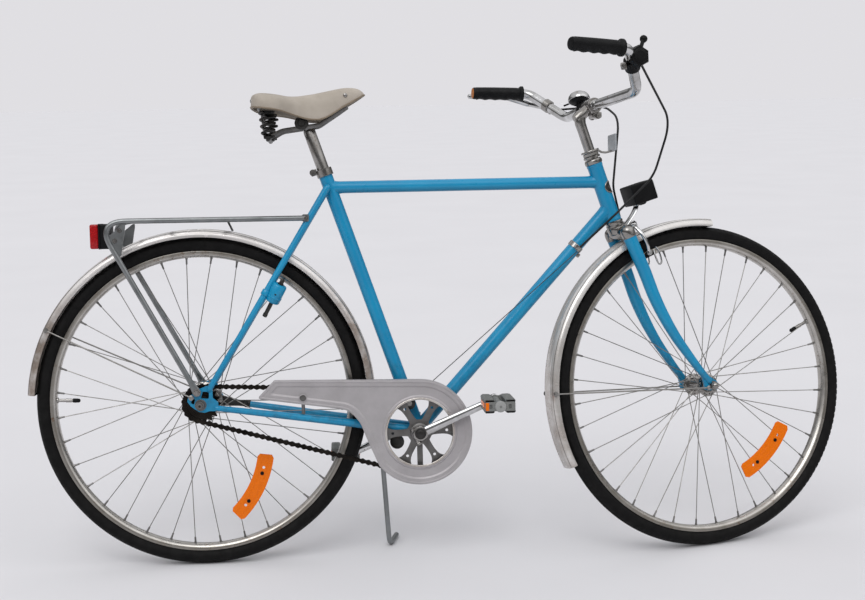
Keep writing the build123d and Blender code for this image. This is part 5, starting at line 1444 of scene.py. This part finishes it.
# Chainring: teeth, six-armed spider with flared ends and bolt holes
g = Geo()
TOOTH = ((-3.7, -3.9), (-2.6, -3.0), (-1.7, 0.6), (-0.75, 3.9), (0.75, 3.9), (1.7, 0.6), (2.6, -3.0), (3.7, -3.9))


def toothed(count, radius, centre, start):
    out = []
    for k in range(count):
        for off, lift in TOOTH:
            a = start + 2 * pi / count * k + radians(off * 44 / count)
            out.append((centre[0] + (radius + lift) * cos(a), centre[2] + (radius + lift) * sin(a)))
    return out


SPIDER = CRANK_ANGLE - radians(21.0)
ARM = ((25.0, 8.4), (29.0, 7.6), (38.0, 7.0), (48.0, 7.0), (57.0, 8.2), (64.0, 11.0), (68.5, 14.8), (71.0, 19.0))
holes = []
for k in range(6):
    left, right = SPIDER + radians(60 * k), SPIDER + radians(60 * (k + 1))
    loop = [(left + atan2(w, r), hypot(r, w)) for r, w in ARM]
    loop += [(right - atan2(w, r), hypot(r, w)) for r, w in reversed(ARM)]
    a0, a1 = loop[7][0], loop[8][0]
    loop = loop[:8] + [(a0 + (a1 - a0) * j / 6, 73.0) for j in range(1, 6)] + loop[8:]
    holes.append([(BB.x + r * cos(a), BB.z + r * sin(a)) for a, r in loop])
    c = crank_point(left, 57)
    holes.append(circle(c.x, c.z, 3.0, 14))
plate(g, toothed(RING_TEETH, RING_R, BB, CRANK_ANGLE), CHAIN_Y - 1.4, CHAIN_Y + 1.4, holes)
lathe(g, [(8.0, -54), (17.5, -54), (19.0, -53), (20.0, -51), (20.0, -43), (19.0, -41), (8.0, -41)], BB, SIDE, 40)
make("chainring_teeth", g, "cranks", GREY_STEEL, "chainring", bevel=0.3, angle=40)

g = Geo()
sweep(g, [BB - SIDE * 75, BB + SIDE * 75], 8.0, 28)
for s in (-1, 1):
    knob(g, BB + SIDE * (s * 74.6), SIDE * s, ((0, 8.0), (0.8, 7.2), (1.2, 5.0)), 26)
make("crank_axle_ends", g, "cranks", DARK_STEEL, "crank_axle")

# Cranks: round tapered bars, boss with its cotter, eye for the pedal
g = Geo()
for s, angle in ((-1, CRANK_ANGLE), (1, CRANK_ANGLE + pi)):
    end = crank_point(angle, CRANK_LENGTH)
    d = (end - BB).normalized()
    side = d.cross(SIDE)
    g.mat = 1
    boss = [(8.2, 55.5), (14.4, 55.5), (15.4, 57), (15.8, 60), (15.8, 71), (14.8, 73.4), (13.2, 74.0), (8.2, 74.0)]
    lathe(g, sided(boss, s), BB, SIDE, 40)
    g.mat = 2
    lathe(g, sided([(8.1, 73.6), (11.6, 73.6), (11.8, 74.2), (11.2, 74.8), (8.1, 74.8)], s), BB, SIDE, 36)
    g.mat = 0
    rows = []
    for q in (4, 14, 26, 60, 100, 140, 154, 164):
        h = 10.2 - 2.6 * q / CRANK_LENGTH
        section = []
        for k in range(24):
            a = 2 * pi * k / 24
            cs, sn = cos(a), sin(a)
            section.append((h * copysign(abs(cs) ** 0.86, cs), 68.0 + 6.0 * copysign(abs(sn) ** 0.86, sn)))
        rows.append([BB + d * q + side * w + SIDE * (s * y) for w, y in section])
    loft(g, rows)
    eye_ring = [(5.2, 62.2), (10.6, 62.2), (11.8, 63.4), (11.8, 73.0), (10.6, 74.0), (7.4, 74.0), (7.0, 73.0),
                (5.2, 73.0)]
    lathe(g, sided(eye_ring, s), end, SIDE, 36)
    sweep(g, [Vector((end.x, s * 63, end.z)), Vector((end.x, s * 172, end.z))], 5.0, 20)
    g.mat = 1
    cot = BB + SIDE * (s * 66.0) - d * 11.0
    sweep(g, [cot - side * 17, cot + side * 17], 4.2, 16)
    hexnut(g, cot - side * 16, -side, 6.6, 5.0)
    knob(g, cot + side * 15, side, ((0, 4.2), (2.5, 4.2), (3.5, 3.0)), 16)
make("crank_arm_bars", g, "cranks", [CHROME, DULL_CHROME, DARK_STEEL], "crank_arms")

# Pedals: ribbed treads between a bowed inner plate and an outer bar with a cap, orange reflectors front and back
BOW = ((-31, -10), (-27, -14.4), (-14, -14.0), (-8, -11), (8, -11), (14, -14.0), (27, -14.4), (31, -10), (29.5, 0))
BOW += tuple((-x, -z) for x, z in BOW)
BAR = ((-30, -9.2), (30, -9.2), (30, 9.2), (-30, 9.2))
SLOT = ((22.5, -4.5), (16.5, -4.5), (16.5, 4.5), (22.5, 4.5))
WEB = ((-25, -6.5), (25, -6.5), (25, 6.5), (-25, 6.5))
PAD = ((12, 7.6), (30.5, 7.6), (31.4, 10), (30.6, 12.8), (27.5, 14.0), (20, 13.4), (13.5, 13.9), (11.4, 12))
PAD_END = ((12.6, 7.8), (29.6, 7.8), (29.6, 12.4), (12.6, 12.4))
BARREL = ((5.2, 82), (8.6, 82), (9.4, 83), (9.4, 90), (8.4, 92), (8.0, 130), (8.4, 168), (9.4, 171), (9.4, 174),
          (8.6, 177), (6.6, 179.2), (2.0, 180), (0.1, 180))
PEDAL_MID = 129.5
CORNERS = ((-1, -1), (-1, 1), (1, -1), (1, 1))


def slab(g, outline, s, y0, y1, holes=()):
    """Plate on the right (-1) or left (1) side."""
    plate(g, outline, *sorted((s * y0, s * y1)), holes)


for s, angle, name in ((-1, CRANK_ANGLE, "pedal_right"), (1, CRANK_ANGLE + pi, "pedal_left")):
    c = crank_point(angle, CRANK_LENGTH)
    g = Geo()
    lathe(g, sided(BARREL, s), c, SIDE, 36)
    slab(g, rounded(about(c, BOW), 3, 3), s, 84.0, 88.0)
    slab(g, rounded(about(c, BAR), 3, 3), s, 171.0, 175.0, [rounded(about(c, SLOT, sx), 1.5, 3) for sx in (-1, 1)])
    slab(g, about(c, WEB), s, 169.0, 171.5)
    for sx, sz in CORNERS:
        slab(g, about(c, PAD, sx, sz), s, 87.5, 169.5)
        g.mat = 3
        slab(g, about(c, PAD_END, sx, sz), s, 169.3, 171.6)
        g.mat = 0
        for k in range(11):
            box(g, (c.x + sx * 22, s * (93 + 7.3 * k), c.z + sz * 13.6), (15, 3.0, 1.8), 0.5)
        if sz > 0:
            box(g, (c.x + sx * 29.4, s * PEDAL_MID, c.z), (2.6, 84, 15), 0.8)
    g.mat = 2
    knob(g, c + SIDE * (s * 174.5), SIDE * s, ((0, 11.6), (2.4, 11.6), (4.2, 10.6), (5.2, 8.0), (5.4, 2.0)), 32)
    g.mat = 1
    box(g, (c.x - 30.4, s * PEDAL_MID, c.z), (2.8, 56, 11), 1.0)
    box(g, (c.x - 26.6, s * 174.4, c.z), (7.0, 2.8, 16), 0.9)
    box(g, (c.x + 30.4, s * PEDAL_MID, c.z), (2.8, 56, 11), 1.0)
    make(name + "_body", g, name, [PEDAL_GREY, ORANGE, PEDAL_CAP, BLACK], name, bevel=0.4)

# Chain link by link, and the rear sprocket
dx, dz = BB.x, BB.z - AXLE_Z
centres = hypot(dx, dz)
slope = atan2(dz, dx)
lift = asin((RING_R - COG_R) / centres)
top, low = slope + pi / 2 + lift, slope - pi / 2 - lift


def at_ring(a):
    return crank_point(a, RING_R)


def at_cog(a):
    return REAR + polar(a, COG_R)


runs = int(round(centres * cos(lift) / PITCH))
wrap = int(round((top - low) * RING_R / PITCH))
rest = 2 * pi - (top - low)
back = int(round(rest * COG_R / PITCH))
path = [at_cog(top).lerp(at_ring(top), k / runs) for k in range(runs)]
path += [at_ring(top + (low - top) * k / wrap) for k in range(wrap)]
path += [at_ring(low).lerp(at_cog(low), k / runs) for k in range(runs)]
path += [at_cog(low - rest * k / back) for k in range(back)]
LINK_R, LINK_WAIST = 5.3, 2.9
g = Geo()
for k, p in enumerate(path):
    q = path[(k + 1) % len(path)]
    u = (q - p).normalized()
    w = Vector((-u.z, 0, u.x))
    outline = []
    for at, start, waist in ((p, 90, -LINK_WAIST), (q, -90, LINK_WAIST)):
        outline += [at + u * x + w * z for x, z in arc_of(0, 0, LINK_R, start, 30, 7)]
        outline.append(p.lerp(q, 0.5) + w * waist)
    inner_y, outer_y = (2.5, 3.5) if k % 2 == 0 else (3.6, 4.6)
    for s in (-1, 1):
        y0, y1 = CHAIN_Y + s * inner_y, CHAIN_Y + s * outer_y
        n = len(outline)
        verts = [(v.x, y0, v.z) for v in outline] + [(v.x, y1, v.z) for v in outline]
        faces = [tuple(range(n)), tuple(reversed(range(n, 2 * n)))]
        faces += [(i, i + n, (i + 1) % n + n, (i + 1) % n) for i in range(n)]
        g.add(verts, faces)
    sweep(g, [(p.x, CHAIN_Y - 2.4, p.z), (p.x, CHAIN_Y + 2.4, p.z)], 4.0, 12)
    sweep(g, [(p.x, CHAIN_Y - 5.3, p.z), (p.x, CHAIN_Y + 5.3, p.z)], 1.9, 8)
make("chain_links", g, "frame", GREASE, "chain", angle=30)

g = Geo()
plate(g, toothed(COG_TEETH, COG_R, REAR, 0.0), CHAIN_Y - 1.3, CHAIN_Y + 1.3)
lathe(g, [(5.2, -54), (17.5, -54), (19, -53), (19, -37), (17.5, -36), (5.2, -36)], REAR, SIDE, 36)
lathe(g, [(19, -48.5), (24.0, -48.5), (24.6, -47.6), (24.6, -47.0), (19, -46.6)], REAR, SIDE, 40)
make("rear_sprocket_teeth", g, "sprocket", GREASE, "rear_sprocket", bevel=0.3)

# Side stand with its pivot, and the bracket between the chainstays
PIVOT = Vector((BB.x - 80, 44.0, BB.z - 26))
heel, toe = (BB.x - 66, 50.0), (BB.x - 48, 114.0)
LEG_HEIGHT = 5.5
g = Geo()
line = fillet([PIVOT, (*heel, ground(*heel, LEG_HEIGHT)), (*toe, ground(*toe, LEG_HEIGHT))], 22, 10)
sweep(g, line, 5.4, 24)
knob(g, line[-1], line[-1] - line[-2], ((-1, 5.4), (0.5, 4.8), (1.4, 3.0)), 24)
lathe(g, [(0.1, 37.6), (11.6, 37.6), (13.0, 38.6), (13.0, 49.0), (11.6, 50.4), (6.0, 50.6), (5.6, 49.6), (0.1, 49.6)],
      Vector((PIVOT.x, 0, PIVOT.z)), SIDE, 36)
make("side_stand_leg", g, "stand", CARRIER_MAT, "side_stand")

g = Geo()
box(g, (PIVOT.x, 0, PIVOT.z + 18), (52, 58, 10), 3.0)
ear = arc_of(PIVOT.x, PIVOT.z, 13, 180, 12, 16)
plate(g, ear + [(PIVOT.x + 13, PIVOT.z + 16), (PIVOT.x - 13, PIVOT.z + 16)], 25.0, 37.2)
knob(g, (PIVOT.x, 25.2, PIVOT.z), RIGHT, ((0, 12.6), (2.0, 12.6), (4.0, 10.0), (4.6, 5.0)), 30)
bolt(g, (PIVOT.x, 0, PIVOT.z + 23), UP, 5.0, 4.0)
box(g, (BB.x - 56, 0, BB.z - 16), (30, 30, 8), 2.4)
sweep(g, [(BB.x - 47, -17, BB.z - 24), (BB.x - 47, 15, BB.z - 24)], 8.0, 24)
knob(g, (BB.x - 47, -15, BB.z - 24), RIGHT,
     ((0, 13.6), (1.2, 15.0), (7, 15.0), (9, 13.4), (9.6, 8.0), (9.0, 7.4), (9.0, 2)), 36)
make("stand_bracket_plate", g, "frame", DARK_STEEL, "stand_bracket", bevel=0.8)

# Stage: matt pale floor, sky dome that is dark near the horizon, soft sun, pale background for the camera
floor_mat = Nodes("floor_paint")
tone = floor_mat.span(floor_mat.noise(1.6, 4), 0.3, 0.7)
floor_mat.finish(floor_mat.mix(tone, (0.72, 0.715, 0.735), (0.70, 0.695, 0.715)), 0.9, 1.0, 20, 4)
floor_mat.set(Specular_IOR_Level=0.0)
floor_mesh = bpy.data.meshes.new("floor")
HALF = 40.0
floor_mesh.from_pydata([(-HALF, -HALF, 0), (HALF, -HALF, 0), (HALF, HALF, 0), (-HALF, HALF, 0)], [], [(0, 1, 2, 3)])
floor_mesh.materials.append(floor_mat.material)
floor = bpy.data.objects.new("floor", floor_mesh)
bpy.context.scene.collection.objects.link(floor)

world = bpy.data.worlds.new("studio")
bpy.context.scene.world = world
world.use_nodes = True
wt = world.node_tree
bg = wt.nodes["Background"]
sep = wt.nodes.new("ShaderNodeSeparateXYZ")
wt.links.new(wt.nodes.new("ShaderNodeTexCoord").outputs["Generated"], sep.inputs[0])
ramp = wt.nodes.new("ShaderNodeValToRGB")
SKY = ((0.0, 0.27), (0.10, 0.14), (0.30, 0.20), (0.48, 0.78), (1.0, 0.92))
while len(ramp.color_ramp.elements) < len(SKY):
    ramp.color_ramp.elements.new(0.5)
for e, (at, level) in zip(ramp.color_ramp.elements, SKY):
    e.position = at
    e.color = (level, level, level * 1.02, 1)
wt.links.new(sep.outputs["Z"], ramp.inputs[0])
wt.links.new(ramp.outputs[0], bg.inputs["Color"])
pale = wt.nodes.new("ShaderNodeBackground")
pale.inputs["Color"].default_value = (0.747, 0.738, 0.765, 1)
blend = wt.nodes.new("ShaderNodeMixShader")
wt.links.new(wt.nodes.new("ShaderNodeLightPath").outputs["Is Camera Ray"], blend.inputs[0])
wt.links.new(bg.outputs[0], blend.inputs[1])
wt.links.new(pale.outputs[0], blend.inputs[2])
wt.links.new(blend.outputs[0], wt.nodes["World Output"].inputs["Surface"])


def sun(name, aim, strength, spread):
    data = bpy.data.lights.new(name, "SUN")
    data.energy = strength
    data.angle = radians(spread)
    o = bpy.data.objects.new(name, data)
    bpy.context.scene.collection.objects.link(o)
    o.rotation_euler = Vector(aim).to_track_quat("-Z", "Y").to_euler()


sun("key", (0.35, 0.75, -1.0), 0.98, 40)
sun("fill", (-0.7, 0.5, -0.7), 0.30, 60)

# Camera, placed in the bicycle's frame
PHOTO_WIDTH, FOCAL_PX, SENSOR = 865.0, 1340.498, 36.0
CAMERA_AT = Vector((293.182, -2834.86, 725.79))
yaw, pitch, roll = 0.068618, -0.063348, -0.021911
fwd = Vector((sin(yaw) * cos(pitch), cos(yaw) * cos(pitch), sin(pitch)))
right = Vector((cos(yaw), -sin(yaw), 0))
upw = right.cross(fwd)
r2 = right * cos(roll) + upw * sin(roll)
u2 = upw * cos(roll) - right * sin(roll)
turn = BIKE.to_3x3() * 1000
cam_data = bpy.data.cameras.new("camera")
cam = bpy.data.objects.new("camera", cam_data)
bpy.context.scene.collection.objects.link(cam)
cam.matrix_world = columns(turn @ r2, turn @ u2, -(turn @ fwd), BIKE @ CAMERA_AT)
cam_data.sensor_fit = "HORIZONTAL"
cam_data.sensor_width = SENSOR
cam_data.lens = SENSOR * FOCAL_PX / PHOTO_WIDTH
bpy.context.scene.camera = cam
bpy.context.scene.view_settings.view_transform = "Standard"
